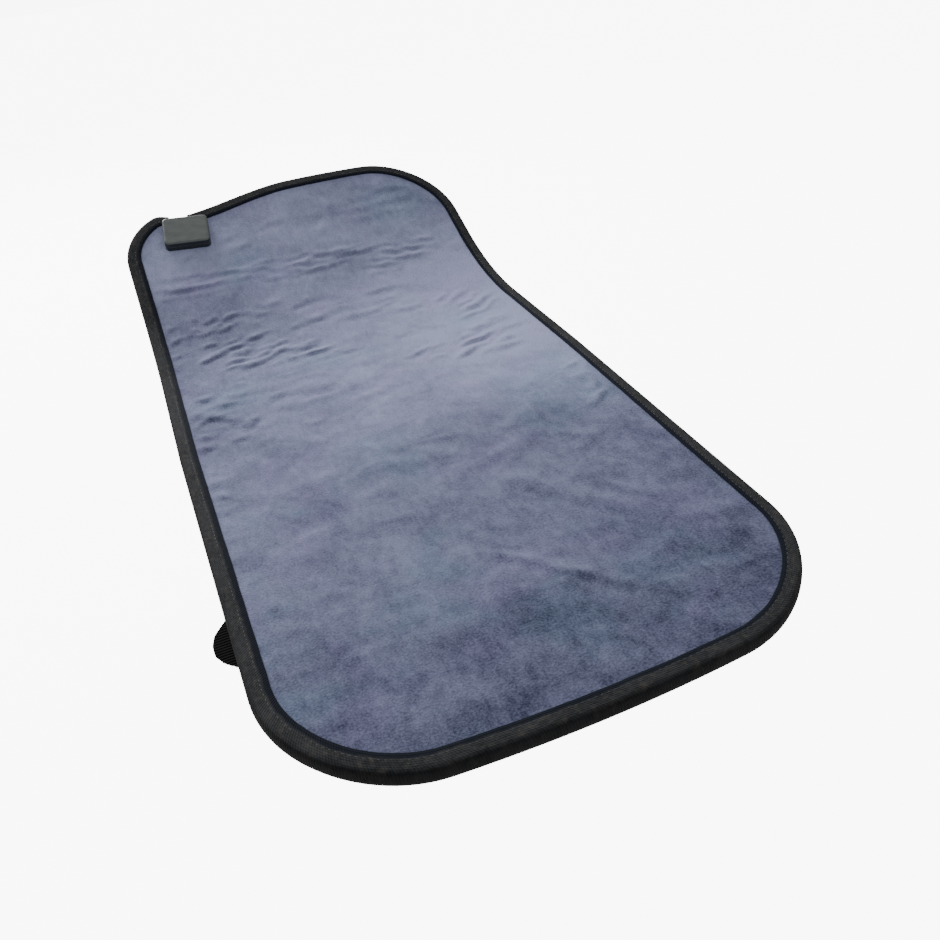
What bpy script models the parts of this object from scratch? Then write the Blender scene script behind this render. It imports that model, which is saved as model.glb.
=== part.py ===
"""Padded far-infrared heat blanket with a velvet face, a bound edge, a corner socket and a fixing strap.

The pad is drawn flat first, in pattern coordinates: x across, s along the length, n above the underside.
Every layer is then laid on one side profile, flat for three quarters and curling up at the far quarter.
The layers part at two fold lines, and the folds turn about lines on the pad's upper face.
"""

import math

import bmesh
import bpy
from mathutils import Vector

MM = 0.001
GAP = 0.3 * MM  # clearance between neighbouring pieces
WELD = 0.01 * MM  # points closer than this are one point

# Pad outline
PAD_WIDTH = 300 * MM
PAD_LENGTH = 630 * MM  # along the centreline, measured on the pattern
END_BOW = 12 * MM  # how far each end bulges beyond its corners
DIP = 9.5 * MM  # how far the far edge is drawn in behind the socket
DIP_RISE = (-118 * MM, -92 * MM)  # across these x the dip deepens
DIP_FALL = (-86 * MM, 10 * MM)  # and across these it fades
NEAR_CORNER = 74 * MM
FAR_LEFT_CORNER = 42 * MM
FAR_RIGHT_CORNER = 68 * MM
FAR_TAPER = 0.04  # share of its width that the pad loses from the middle to the far end
CORNERS = {
    (1, -1): NEAR_CORNER,
    (1, 1): FAR_RIGHT_CORNER,
    (-1, 1): FAR_LEFT_CORNER,
    (-1, -1): NEAR_CORNER,
}
CORNER_STEPS = 8
END_STEPS = 14
SIDE_LENGTH = PAD_LENGTH - 2 * END_BOW

# Side profile
HALF_FOLD = 0.0
FAR_FOLD = PAD_LENGTH / 4
FOLD_GAP = 8 * MM
CURL_HALF_LENGTH = 50 * MM
CURL_ANGLE = math.radians(28)
CURL_START = FAR_FOLD - CURL_HALF_LENGTH
CURL_END = FAR_FOLD + CURL_HALF_LENGTH
CURL_RADIUS = 2 * CURL_HALF_LENGTH / CURL_ANGLE
CURL_STEPS = 8

# Layers, from the underside up: (lower face, upper face)
BOTTOM_COVER = (0.0, 0.6 * MM)
BOTTOM_WADDING = (0.9 * MM, 2.1 * MM)
FOIL = (2.4 * MM, 2.6 * MM)
HEATER_FELT = (2.9 * MM, 3.3 * MM)
TOP_WADDING = (5.1 * MM, 6.5 * MM)
VELVET = (6.8 * MM, 7.6 * MM)
WIRE_RADIUS = 0.6 * MM
WIRE_HEIGHT = 4.2 * MM
LAYER_INSET = 1.4 * MM
PADDING_INSET = 5 * MM

# Edge binding
BINDING_WIDTH = 10.5 * MM
BINDING_CLOTH = 0.7 * MM
BINDING_CHAMFER = 1.0 * MM
BINDING_TOP = VELVET[1] + GAP + BINDING_CLOTH
BINDING_BOTTOM = -GAP - BINDING_CLOTH

# Heating wire
WIRE_PITCH = 20 * MM
WIRE_MARGIN = 32 * MM  # from the pad's edge to where a turn starts
WIRE_TURN_STEPS = 6
WIRE_STOP = 10 * MM

# Socket housing on the far left corner
DOCK_X = -90 * MM
DOCK_WIDTH = 38 * MM
DOCK_LENGTH = 30 * MM
DOCK_SETBACK = 9 * MM  # from the pad's far edge to the housing's far face
DOCK_TURN = math.radians(9)  # how far the housing is turned on the soft pad, clockwise from above
DOCK_WALL = 1.6 * MM
DOCK_FLOOR = VELVET[1] + GAP
DOCK_SPLIT = DOCK_FLOOR + 4.3 * MM
DOCK_TOP = DOCK_FLOOR + 8.6 * MM
DOCK_CORNER = 4 * MM
MOUTH_WIDTH = 19 * MM
MOUTH_LOW = DOCK_FLOOR + 1.5 * MM
MOUTH_HIGH = DOCK_FLOOR + 7.1 * MM
SCREW_OFFSET_X = 14.2 * MM
SCREW_OFFSET_S = 10.2 * MM
NOTCH_X = -92 * MM
NOTCH_WIDTH = 15 * MM
NOTCH_DEPTH = 6 * MM
SCREW_RADIUS = 1.1 * MM
SCREW_HEAD_RADIUS = 2.2 * MM
BOSS_RADIUS = 2.4 * MM
PIN_RADIUS = 0.8 * MM
PIN_PITCH = 4.6 * MM
PIN_COUNT = 4

# Strap under the near half
STRAP_S = -PAD_LENGTH / 2 + 139 * MM
STRAP_WIDTH = 50 * MM
STRAP_CLOTH = 1.4 * MM
STRAP_SEAM_X = 146 * MM
STRAP_END_ROOT_X = -98 * MM
STRAP_TIP_X = -159 * MM
STRAP_TIP_CORNER = 15 * MM
PATCH_CLOTH = 0.8 * MM
PATCH_LENGTH = 34 * MM
PATCH_X = -119 * MM
STRAP_TOP = -3 * GAP - 2 * PATCH_CLOTH

# The plain part of the underside that the blanket rests on
REST_HALF_WIDTH = 110 * MM
REST_START = -120 * MM
REST_END = -10 * MM
REST_POINT = -40 * MM
REST_STEP = 0.2 * MM  # how far that part stands proud of the cover round it

# A panel is the stretch of the pattern between two fold lines.
PANELS = {
    "near": (-PAD_LENGTH, HALF_FOLD - FOLD_GAP / 2),
    "mid": (HALF_FOLD + FOLD_GAP / 2, FAR_FOLD - FOLD_GAP / 2),
    "far": (FAR_FOLD + FOLD_GAP / 2, PAD_LENGTH),
}


# ---------------------------------------------------------------- scene and materials


def clear_scene():
    for obj in list(bpy.data.objects):
        bpy.data.objects.remove(obj)


def collection(name):
    made = bpy.data.collections.new(name)
    bpy.context.scene.collection.children.link(made)
    return made


def material(name, colour, roughness, metallic=0.0):
    made = bpy.data.materials.new(name)
    made.use_nodes = True
    shader = made.node_tree.nodes["Principled BSDF"]
    shader.inputs["Base Color"].default_value = (*colour, 1.0)
    shader.inputs["Roughness"].default_value = roughness
    shader.inputs["Metallic"].default_value = metallic
    return made


def add(name, data, look, parent=None):
    obj = bpy.data.objects.new(name, data)
    blanket.objects.link(obj)
    if look:
        data.materials.append(look)
    obj.parent = parent
    return obj


def mesh_from(bm, name):
    bmesh.ops.recalc_face_normals(bm, faces=bm.faces)
    mesh = bpy.data.meshes.new(name)
    bm.to_mesh(mesh)
    bm.free()
    return mesh


def mesh_of_curve(curve, height=0.0):
    """The closed mesh that a curve object makes, lifted to a height."""
    guide = add(f"{curve.name}_guide", curve, None)
    bpy.context.view_layer.update()
    graph = bpy.context.evaluated_depsgraph_get()
    mesh = bpy.data.meshes.new_from_object(guide.evaluated_get(graph))
    bpy.data.objects.remove(guide)
    bm = bmesh.new()
    bm.from_mesh(mesh)
    bmesh.ops.remove_doubles(bm, verts=bm.verts, dist=WELD)
    bmesh.ops.translate(bm, verts=bm.verts, vec=(0, 0, height))
    return mesh_from(bm, curve.name)


def apply_modifiers(obj):
    """Replaces the object's mesh with its evaluated mesh, and drops the modifiers."""
    bpy.context.view_layer.update()
    graph = bpy.context.evaluated_depsgraph_get()
    mesh = bpy.data.meshes.new_from_object(obj.evaluated_get(graph))
    obj.modifiers.clear()
    obj.data = mesh


def cut(obj, cutter, operation="DIFFERENCE"):
    modifier = obj.modifiers.new("cut", "BOOLEAN")
    modifier.operation = operation
    modifier.object = cutter
    return obj


# ---------------------------------------------------------------- the pad's pattern and profile


def narrowing(s):
    """Width of the pad at s as a share of its full width."""
    return 1 - FAR_TAPER * min(1.0, max(0.0, 2 * s / SIDE_LENGTH))


def smooth(value, low, high):
    share = min(1.0, max(0.0, (value - low) / (high - low)))
    return share * share * (3 - 2 * share)


def dip(x):
    """How far the far edge is drawn in at x."""
    return DIP * smooth(x, *DIP_RISE) * (1 - smooth(x, *DIP_FALL))


def end_bow(x, s):
    """How far the bowed end moves a pattern point along s."""
    share = min(1.0, abs(2 * s / SIDE_LENGTH)) ** 4
    bow = END_BOW * (1 - (2 * x / PAD_WIDTH) ** 2)
    return (bow - dip(x) if s > 0 else -bow) * share


def pad_outline(inset):
    """Points (x, s) of the pad's edge, moved inwards by inset, counter-clockwise from the near right corner."""
    half_pad = PAD_WIDTH / 2 - inset
    half_length = SIDE_LENGTH / 2 - inset
    points = []
    for quarter, ((side, end), corner) in enumerate(CORNERS.items()):
        radius = corner - inset
        centre_x = side * (half_pad - radius)
        centre_s = end * (half_length - radius)
        for step in range(CORNER_STEPS + 1):
            angle = math.radians(90) * (quarter - 1 + step / CORNER_STEPS)
            points.append((centre_x + radius * math.cos(angle), centre_s + radius * math.sin(angle)))
        if quarter % 2:
            next_x = -side * (half_pad - CORNERS[-side, end] + inset)
            first_x, end_s = points[-1]
            for step in range(1, END_STEPS):
                points.append((first_x + (next_x - first_x) * step / END_STEPS, end_s))
        else:
            points.append((side * half_pad, 0.0))
    return [(x * narrowing(s), s + end_bow(x, s)) for x, s in points]


def profile(s):
    """(y, z, slope) of the underside at pattern length s."""
    if s <= CURL_START:
        return s, 0.0, 0.0
    turned = min(s, CURL_END) - CURL_START
    slope = turned / CURL_RADIUS
    y = CURL_START + CURL_RADIUS * math.sin(slope)
    z = CURL_RADIUS * (1 - math.cos(slope))
    straight = max(0.0, s - CURL_END)
    return y + straight * math.cos(slope), z + straight * math.sin(slope), slope


def laid(x, s, n):
    """A pattern point laid on the side profile."""
    y, z, slope = profile(s)
    return Vector((x, y - n * math.sin(slope), z + n * math.cos(slope)))


def lay(obj):
    for vertex in obj.data.vertices:
        vertex.co = laid(*vertex.co)
    return obj


def slice_at(bm, s, keep=None):
    """Adds an edge loop at pattern length s. keep +1 or -1 removes the other side and closes the cut."""
    found = bmesh.ops.bisect_plane(
        bm,
        geom=bm.verts[:] + bm.edges[:] + bm.faces[:],
        plane_co=(0, s, 0),
        plane_no=(0, -1 if keep == 1 else 1, 0),
        clear_outer=keep is not None,
    )
    if keep:
        edges = [item for item in found["geom_cut"] if isinstance(item, bmesh.types.BMEdge)]
        bmesh.ops.holes_fill(bm, edges=edges)


def to_panel(obj, panel):
    """Trims a flat pattern piece to its panel, adds the loops the curl needs, and lays it on the profile."""
    bm = bmesh.new()
    bm.from_mesh(obj.data)
    low, high = PANELS[panel]
    if panel != "near":
        slice_at(bm, low, keep=1)
    if panel != "far":
        slice_at(bm, high, keep=-1)
    for step in range(CURL_STEPS + 1):
        s = CURL_START + (CURL_END - CURL_START) * step / CURL_STEPS
        if low < s < high:
            slice_at(bm, s)
    bmesh.ops.recalc_face_normals(bm, faces=bm.faces)
    bm.to_mesh(obj.data)
    bm.free()
    return lay(obj)


# ---------------------------------------------------------------- the pad's layers


def plate(name, outline, heights, look):
    """A flat piece of cloth: an outline of pattern points, filled and given its thickness."""
    curve = bpy.data.curves.new(name, "CURVE")
    curve.dimensions = "2D"
    curve.fill_mode = "BOTH"
    curve.extrude = (heights[1] - heights[0]) / 2
    spline = curve.splines.new("POLY")
    spline.points.add(len(outline) - 1)
    for point, (x, s) in zip(spline.points, outline):
        point.co = (x, s, 0.0, 1.0)
    spline.use_cyclic_u = True
    mesh = mesh_of_curve(curve, height=(heights[0] + heights[1]) / 2)
    bm = bmesh.new()
    bm.from_mesh(mesh)
    bmesh.ops.dissolve_limit(bm, angle_limit=math.radians(1), verts=[], edges=bm.edges)
    return add(name, mesh_from(bm, name), look)


def layer(name, panel, heights, look, inset=LAYER_INSET, openings=()):
    """One panel of one layer, with its openings cut. The near bottom cover has a plain face to rest on."""
    low, high = heights
    rests = (name, panel) == ("bottom_cover", "near")
    obj = plate(f"{name}_{panel}", pad_outline(inset), (low + REST_STEP if rests else low, high), look)
    if rests:
        corners = ((-REST_HALF_WIDTH, REST_START, low), (REST_HALF_WIDTH, REST_END, (low + high) / 2))
        cut(obj, cutter(box, "join_rest_face", *corners), "UNION")
    for opening in openings:
        cut(obj, opening)
    apply_modifiers(obj)
    return to_panel(obj, panel)


def binding_strip(name, look):
    """The whole binding on the pattern: an open C section run round the edge, given the cloth's thickness."""
    section = (
        (BINDING_WIDTH, BINDING_TOP),
        (BINDING_CHAMFER, BINDING_TOP),
        (0.0, BINDING_TOP - BINDING_CHAMFER),
        (0.0, BINDING_BOTTOM + BINDING_CHAMFER),
        (BINDING_CHAMFER, BINDING_BOTTOM),
        (BINDING_WIDTH, BINDING_BOTTOM),
    )
    bm = bmesh.new()
    rings = [[bm.verts.new((x, s, n)) for x, s in pad_outline(inset)] for inset, n in section]
    for ring, following in zip(rings, rings[1:]):
        for i in range(len(ring)):
            j = (i + 1) % len(ring)
            bm.faces.new((ring[i], following[i], following[j], ring[j]))
    obj = add(name, mesh_from(bm, name), look)
    cloth = obj.modifiers.new("cloth", "SOLIDIFY")
    cloth.thickness = BINDING_CLOTH
    cloth.offset = -1
    cloth.use_even_offset = True
    apply_modifiers(obj)
    return obj


def binding(name, panel, look, side=0, split_x=0.0, recess=None):
    """One panel's binding. side -1 or +1 keeps the strip on that side of split_x, where the panel has two."""
    obj = binding_strip(name, look)
    if recess:
        cut(obj, recess)
        apply_modifiers(obj)
    if side:
        bm = bmesh.new()
        bm.from_mesh(obj.data)
        found = bmesh.ops.bisect_plane(
            bm,
            geom=bm.verts[:] + bm.edges[:] + bm.faces[:],
            plane_co=(split_x, 0, 0),
            plane_no=(-side, 0, 0),
            clear_outer=True,
        )
        edges = [item for item in found["geom_cut"] if isinstance(item, bmesh.types.BMEdge)]
        bmesh.ops.holes_fill(bm, edges=edges)
        bm.to_mesh(obj.data)
        bm.free()
    return to_panel(obj, panel)


# ---------------------------------------------------------------- heating wire and leads


def with_stops(points):
    """Adds points along the runs that cross the curl, so that they can bend with it."""
    stopped = points[:1]
    for start, end in zip(points, points[1:]):
        crosses = max(start[1], end[1]) > CURL_START and min(start[1], end[1]) < CURL_END
        parts = max(1, math.ceil(abs(end[1] - start[1]) / WIRE_STOP)) if crosses else 1
        stopped += [tuple(Vector(start).lerp(end, part / parts)) for part in range(1, parts + 1)]
    return stopped


def tube(name, points, radius, look):
    """A round wire through pattern points, laid on the profile, as one closed mesh."""
    points = with_stops(points)
    curve = bpy.data.curves.new(name, "CURVE")
    curve.dimensions = "3D"
    curve.bevel_depth = radius
    curve.bevel_resolution = 1
    curve.use_fill_caps = True
    spline = curve.splines.new("POLY")
    spline.points.add(len(points) - 1)
    for point, place in zip(spline.points, points):
        point.co = (*place, 1.0)
    return lay(add(name, mesh_of_curve(curve), look))


def half_width(side, s):
    """Distance from the centreline to the pad's edge at pattern length s, on one side."""
    radius = CORNERS[side, math.copysign(1, s)]
    past = abs(s) - (SIDE_LENGTH / 2 - radius)
    straight = PAD_WIDTH / 2 if past <= 0 else PAD_WIDTH / 2 - radius + math.sqrt(radius**2 - past**2)
    return straight * narrowing(s)


def serpentine(first, count, side=-1, last_x=None):
    """Points of a wire that crosses the pad count times, one pitch apart, starting on one side."""
    levels = [first + i * WIRE_PITCH for i in range(count)]
    points = [(side * (half_width(side, first) - WIRE_MARGIN), first, WIRE_HEIGHT)]
    for s, following in zip(levels, levels[1:]):
        side = -side
        reach = min(half_width(side, s), half_width(side, following)) - WIRE_MARGIN
        for step in range(WIRE_TURN_STEPS + 1):
            angle = math.pi * step / WIRE_TURN_STEPS
            x = side * (reach + WIRE_PITCH / 2 * math.sin(angle))
            points.append((x, s + WIRE_PITCH / 2 * (1 - math.cos(angle)), WIRE_HEIGHT))
    if last_x is None:
        last_x = -side * (half_width(-side, levels[-1]) - WIRE_MARGIN)
    return points + [(last_x, levels[-1], WIRE_HEIGHT)]


# ---------------------------------------------------------------- boxes, cylinders and cutters


def box(name, low, high, look, parent=None):
    bm = bmesh.new()
    bmesh.ops.create_cube(bm, size=1)
    size = [b - a for a, b in zip(low, high)]
    bmesh.ops.scale(bm, verts=bm.verts, vec=size)
    bmesh.ops.translate(bm, verts=bm.verts, vec=[(a + b) / 2 for a, b in zip(low, high)])
    obj = add(name, mesh_from(bm, name), look, parent)
    return obj


def cylinder(name, centre, radius, length, axis, look, parent=None, segments=12):
    bm = bmesh.new()
    bmesh.ops.create_cone(bm, cap_ends=True, segments=segments, radius1=radius, radius2=radius, depth=length)
    turn = Vector((0, 0, 1)).rotation_difference(Vector(axis)).to_matrix()
    bmesh.ops.rotate(bm, verts=bm.verts, matrix=turn, cent=(0, 0, 0))
    bmesh.ops.translate(bm, verts=bm.verts, vec=centre)
    obj = add(name, mesh_from(bm, name), look, parent)
    return obj


def cutter(shape, name, *where, parent=None):
    """A box or cylinder that only cuts."""
    obj = shape(name, *where, None, parent)
    blanket.objects.unlink(obj)
    cutters.objects.link(obj)
    obj.hide_render = True
    obj.display_type = "WIRE"
    return obj


def round_edges(obj, width, segments=2, limit=math.radians(40)):
    bevel = obj.modifiers.new("round", "BEVEL")
    bevel.width = width
    bevel.segments = segments
    bevel.limit_method = "ANGLE"
    bevel.angle_limit = limit
    return obj


def round_uprights(obj, radius, segments=5):
    """Rounds the four corners that stand along n, by bevelling those edges."""
    bm = bmesh.new()
    bm.from_mesh(obj.data)
    upright = [e for e in bm.edges if abs((e.verts[0].co - e.verts[1].co).normalized().z) > 0.99]
    bmesh.ops.bevel(bm, geom=upright, offset=radius, segments=segments, affect="EDGES", profile=0.5)
    bm.to_mesh(obj.data)
    bm.free()
    return obj


# ---------------------------------------------------------------- the pad


def edge_s(x):
    """Pattern length of the far edge at x, away from the corners."""
    return SIDE_LENGTH / 2 + end_bow(x, SIDE_LENGTH / 2)


DOCK_FAR = edge_s(DOCK_X) - DOCK_SETBACK
DOCK_NEAR = DOCK_FAR - DOCK_LENGTH
DOCK_S = (DOCK_NEAR + DOCK_FAR) / 2
DOCK_PLACE = (DOCK_X, DOCK_S)
SCREW_PLACES = [(DOCK_X + i * SCREW_OFFSET_X, DOCK_S + j * SCREW_OFFSET_S) for i in (-1, 1) for j in (-1, 1)]

PLATE_HALF_X = DOCK_WIDTH / 2 - 1.5 * MM
WINDOW_MARGIN = 1 * MM
PLATE_HALF_S = DOCK_LENGTH / 2 - 1.5 * MM
THERMOSTAT = (0.0, -154 * MM)
THERMOSTAT_SIZE = (14 * MM, 7 * MM)
SENSOR = (-20 * MM, DOCK_S - 20 * MM)
SENSOR_RADIUS = 1.2 * MM
SENSOR_LENGTH = 9 * MM
POCKET_CLEARANCE = 1 * MM
POCKET_LOW = TOP_WADDING[0] - 1 * MM
POCKET_HIGH = TOP_WADDING[1] + 1 * MM


def turned(x, s):
    """The pattern point that the turned housing brings the point (x, s) of the straight one to."""
    dx, ds = x - DOCK_X, s - DOCK_S
    sine, cosine = math.sin(DOCK_TURN), math.cos(DOCK_TURN)
    return DOCK_X + dx * cosine + ds * sine, DOCK_S - dx * sine + ds * cosine


def pocket(name, place, half, low=POCKET_LOW, high=POCKET_HIGH):
    """A box that cuts through one layer, centred on a pattern point. The socket's own pockets turn with it."""
    x, s = place
    made = cutter(box, name, (x - half[0], s - half[1], low), (x + half[0], s + half[1], high))
    if place == DOCK_PLACE:
        for vertex in made.data.vertices:
            vertex.co.x, vertex.co.y = turned(vertex.co.x, vertex.co.y)
    return made


def build_pad():
    thermostat_half = [size / 2 + POCKET_CLEARANCE for size in THERMOSTAT_SIZE]
    thermostat_pocket = pocket("cut_thermostat_pocket", THERMOSTAT, thermostat_half)
    sensor_half = (SENSOR_LENGTH / 2 + POCKET_CLEARANCE, SENSOR_RADIUS + POCKET_CLEARANCE)
    sensor_pocket = pocket("cut_sensor_pocket", SENSOR, sensor_half)
    plate_pocket = pocket("cut_backplate_pocket", DOCK_PLACE, (PLATE_HALF_X + GAP, PLATE_HALF_S + GAP))
    velvet_window = pocket(
        "cut_velvet_window",
        DOCK_PLACE,
        (PLATE_HALF_X - WINDOW_MARGIN, PLATE_HALF_S - WINDOW_MARGIN),
        high=VELVET[1] + 1 * MM,
    )
    edge_notch = pocket(
        "cut_edge_notch",
        (NOTCH_X, edge_s(NOTCH_X)),
        (NOTCH_WIDTH / 2, NOTCH_DEPTH),
        low=BINDING_BOTTOM - 1 * MM,
        high=BINDING_TOP + 1 * MM,
    )
    openings = {
        ("top_wadding", "near"): [thermostat_pocket],
        ("top_wadding", "far"): [sensor_pocket, plate_pocket],
        ("velvet_cover", "far"): [velvet_window],
    }
    layers = (
        ("bottom_cover", BOTTOM_COVER, oxford, LAYER_INSET),
        ("bottom_wadding", BOTTOM_WADDING, wadding, PADDING_INSET),
        ("foil_reflector", FOIL, foil, PADDING_INSET),
        ("heater_felt", HEATER_FELT, felt, PADDING_INSET),
        ("top_wadding", TOP_WADDING, wadding, PADDING_INSET),
        ("velvet_cover", VELVET, velvet, LAYER_INSET),
    )
    for panel in PANELS:
        for name, heights, look, inset in layers:
            holes = openings.get((name, panel), [])
            if panel == "far":
                holes = [*holes, edge_notch]
            layer(name, panel, heights, look, inset, holes)
    dock_recess = pocket(
        "cut_dock_recess",
        DOCK_PLACE,
        (DOCK_WIDTH / 2 + GAP, DOCK_LENGTH / 2 + GAP),
        low=VELVET[1] + GAP / 2,
        high=BINDING_TOP + 2 * MM,
    )
    binding("edge_binding_near", "near", tape)
    binding("edge_binding_mid_left", "mid", tape, side=-1)
    binding("edge_binding_mid_right", "mid", tape, side=1)
    notch_half = NOTCH_WIDTH / 2
    binding("edge_binding_far_left", "far", tape, side=-1, split_x=NOTCH_X - notch_half, recess=dock_recess)
    binding("edge_binding_far_right", "far", tape, side=1, split_x=NOTCH_X + notch_half, recess=dock_recess)


def build_heater():
    near_first = -PAD_LENGTH / 2 + 26 * MM
    tube("heating_wire_near", serpentine(near_first, 14), WIRE_RADIUS, carbon_wire)
    tube("heating_wire_mid", serpentine(15 * MM, 7), WIRE_RADIUS, carbon_wire)
    tube("heating_wire_far", serpentine(FAR_WIRE_FIRST, FAR_WIRE_COUNT, last_x=FAR_WIRE_END), WIRE_RADIUS, carbon_wire)

    half_length, half_width = (size / 2 for size in THERMOSTAT_SIZE)
    thermostat = box(
        "overheat_thermostat",
        (THERMOSTAT[0] - half_length, THERMOSTAT[1] - half_width, HEATER_FELT[1] + GAP),
        (THERMOSTAT[0] + half_length, THERMOSTAT[1] + half_width, TOP_WADDING[1]),
        steel,
    )
    round_edges(thermostat, 0.6 * MM)
    sensor_height = HEATER_FELT[1] + GAP + SENSOR_RADIUS
    where = (*SENSOR, sensor_height)
    cylinder("temperature_sensor", where, SENSOR_RADIUS, SENSOR_LENGTH, (1, 0, 0), resin, far_frame)


# ---------------------------------------------------------------- the socket housing


LEAD_S = DOCK_NEAR + 4.6 * MM
FAR_WIRE_FIRST = FAR_FOLD + 17 * MM
FAR_WIRE_COUNT = 6
FAR_WIRE_LAST = FAR_WIRE_FIRST + (FAR_WIRE_COUNT - 1) * WIRE_PITCH
FAR_WIRE_END = DOCK_X + DOCK_WIDTH / 2 + 18 * MM


def housing_half(name, low, high):
    """Half of the housing: a box with rounded uprights, before it is hollowed."""
    half_x, half_s = DOCK_WIDTH / 2, DOCK_LENGTH / 2
    corner_low = (DOCK_X - half_x, DOCK_S - half_s, low)
    corner_high = (DOCK_X + half_x, DOCK_S + half_s, high)
    return round_uprights(box(name, corner_low, corner_high, shell_plastic, dock_frame), DOCK_CORNER)


def hollow(obj, low, high):
    """Hollows a housing half and cuts the mouth through its far wall."""
    half_x, half_s = DOCK_WIDTH / 2 - DOCK_WALL, DOCK_LENGTH / 2 - DOCK_WALL
    corner_low = (DOCK_X - half_x, DOCK_S - half_s, low)
    corner_high = (DOCK_X + half_x, DOCK_S + half_s, high)
    inside = cutter(box, f"cut_{obj.name}_hollow", corner_low, corner_high, parent=dock_frame)
    cut(obj, round_uprights(inside, DOCK_CORNER - DOCK_WALL))


def mouth(obj):
    corner_low = (DOCK_X - MOUTH_WIDTH / 2, DOCK_S, MOUTH_LOW)
    corner_high = (DOCK_X + MOUTH_WIDTH / 2, DOCK_FAR + 5 * MM, MOUTH_HIGH)
    cut(obj, cutter(box, f"cut_{obj.name}_mouth", corner_low, corner_high, parent=dock_frame))


def upright(name, place, radius, low, high, look=None):
    """A cylinder standing in the housing. Without a look it only cuts or joins."""
    where = ((*place, (low + high) / 2), radius, high - low, (0, 0, 1))
    if look:
        return cylinder(name, *where, look, dock_frame)
    return cutter(cylinder, name, *where, parent=dock_frame)


def build_dock():
    floor_top = DOCK_FLOOR + 1.4 * MM
    roof_under = DOCK_TOP - 1.4 * MM
    lower = housing_half("socket_lower_shell", DOCK_FLOOR, DOCK_SPLIT)
    hollow(lower, floor_top, DOCK_TOP)
    mouth(lower)
    upper = housing_half("socket_upper_shell", DOCK_SPLIT + GAP, DOCK_TOP)
    soften_roof(upper)
    hollow(upper, DOCK_FLOOR, roof_under)
    for index, place in enumerate(SCREW_PLACES, 1):
        boss = upright(f"join_boss_{index}", place, BOSS_RADIUS, floor_top + GAP, roof_under + 0.7 * MM)
        cut(upper, boss, "UNION")
    mouth(upper)

    plate_low, plate_high = TOP_WADDING[0] + 0.2 * MM, TOP_WADDING[1] - 0.2 * MM
    backplate = box(
        "socket_backplate",
        (DOCK_X - PLATE_HALF_X, DOCK_S - PLATE_HALF_S, plate_low),
        (DOCK_X + PLATE_HALF_X, DOCK_S + PLATE_HALF_S, plate_high),
        carrier_plastic,
        dock_frame,
    )
    lead_slot = cutter(
        box,
        "cut_lead_slot",
        (DOCK_X - 7 * MM, LEAD_S - 1.6 * MM, plate_low - 1 * MM),
        (DOCK_X + 7 * MM, LEAD_S + 1.6 * MM, floor_top + GAP),
        parent=dock_frame,
    )
    cut(backplate, lead_slot)
    cut(lower, lead_slot)

    head_high = plate_low - GAP
    head_low = head_high - 1 * MM
    tip = MOUTH_HIGH - 1 * MM
    for index, place in enumerate(SCREW_PLACES, 1):
        screw = upright(f"socket_screw_{index}", place, SCREW_HEAD_RADIUS, head_low, head_high, steel)
        cut(screw, upright(f"join_shank_{index}", place, SCREW_RADIUS, head_low + 0.2 * MM, tip), "UNION")
        hole = upright(f"cut_screw_hole_{index}", place, SCREW_RADIUS + GAP, head_low, tip + GAP)
        for piece in (backplate, lower, upper):
            cut(piece, hole)

    carrier_near = DOCK_NEAR + 11.4 * MM
    board_near = carrier_near - 3 * MM
    pin_height = (MOUTH_LOW + MOUTH_HIGH) / 2
    inserts = []
    for name, near, depth, look in (
        ("contact_carrier", carrier_near, 5 * MM, carrier_plastic),
        ("socket_board", board_near, 1.6 * MM, board_green),
    ):
        low = (DOCK_X - 9.4 * MM, near, floor_top + GAP)
        high = (DOCK_X + 9.4 * MM, near + depth, roof_under - GAP)
        inserts.append(box(name, low, high, look, dock_frame))
    pin_start, pin_end = board_near - 1 * MM, DOCK_FAR - 6 * MM
    for index in range(PIN_COUNT):
        x = DOCK_X + (index - (PIN_COUNT - 1) / 2) * PIN_PITCH
        centre = (x, (pin_start + pin_end) / 2, pin_height)
        length = pin_end - pin_start
        pin = cylinder(f"contact_pin_{index + 1}", centre, PIN_RADIUS, length, (0, 1, 0), brass, dock_frame)
        pin.data.shade_smooth()
        pin.data.set_sharp_from_angle(angle=math.radians(40))
        bore = cutter(
            cylinder,
            f"cut_pin_bore_{index + 1}",
            centre,
            PIN_RADIUS + GAP,
            length + 4 * MM,
            (0, 1, 0),
            parent=dock_frame,
        )
        for insert in inserts:
            cut(insert, bore)


def soften_roof(obj):
    """Rounds the rim of the housing's roof."""
    bm = bmesh.new()
    bm.from_mesh(obj.data)
    rim = [e for e in bm.edges if all(abs(v.co.z - DOCK_TOP) < 1e-6 for v in e.verts)]
    bmesh.ops.bevel(bm, geom=rim, offset=1.6 * MM, segments=3, affect="EDGES", profile=0.5)
    bm.to_mesh(obj.data)
    bm.free()


def lead_start(x):
    """The first points of a lead, which drops through the slot and leaves under the housing's near side."""
    return [
        (*turned(x, LEAD_S), DOCK_FLOOR + 3.2 * MM),
        (*turned(x, LEAD_S), WIRE_HEIGHT + 1.2 * MM),
        (*turned(x, LEAD_S - 1.2 * MM), WIRE_HEIGHT),
        (*turned(x, LEAD_S - 9 * MM), WIRE_HEIGHT),
    ]


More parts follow.
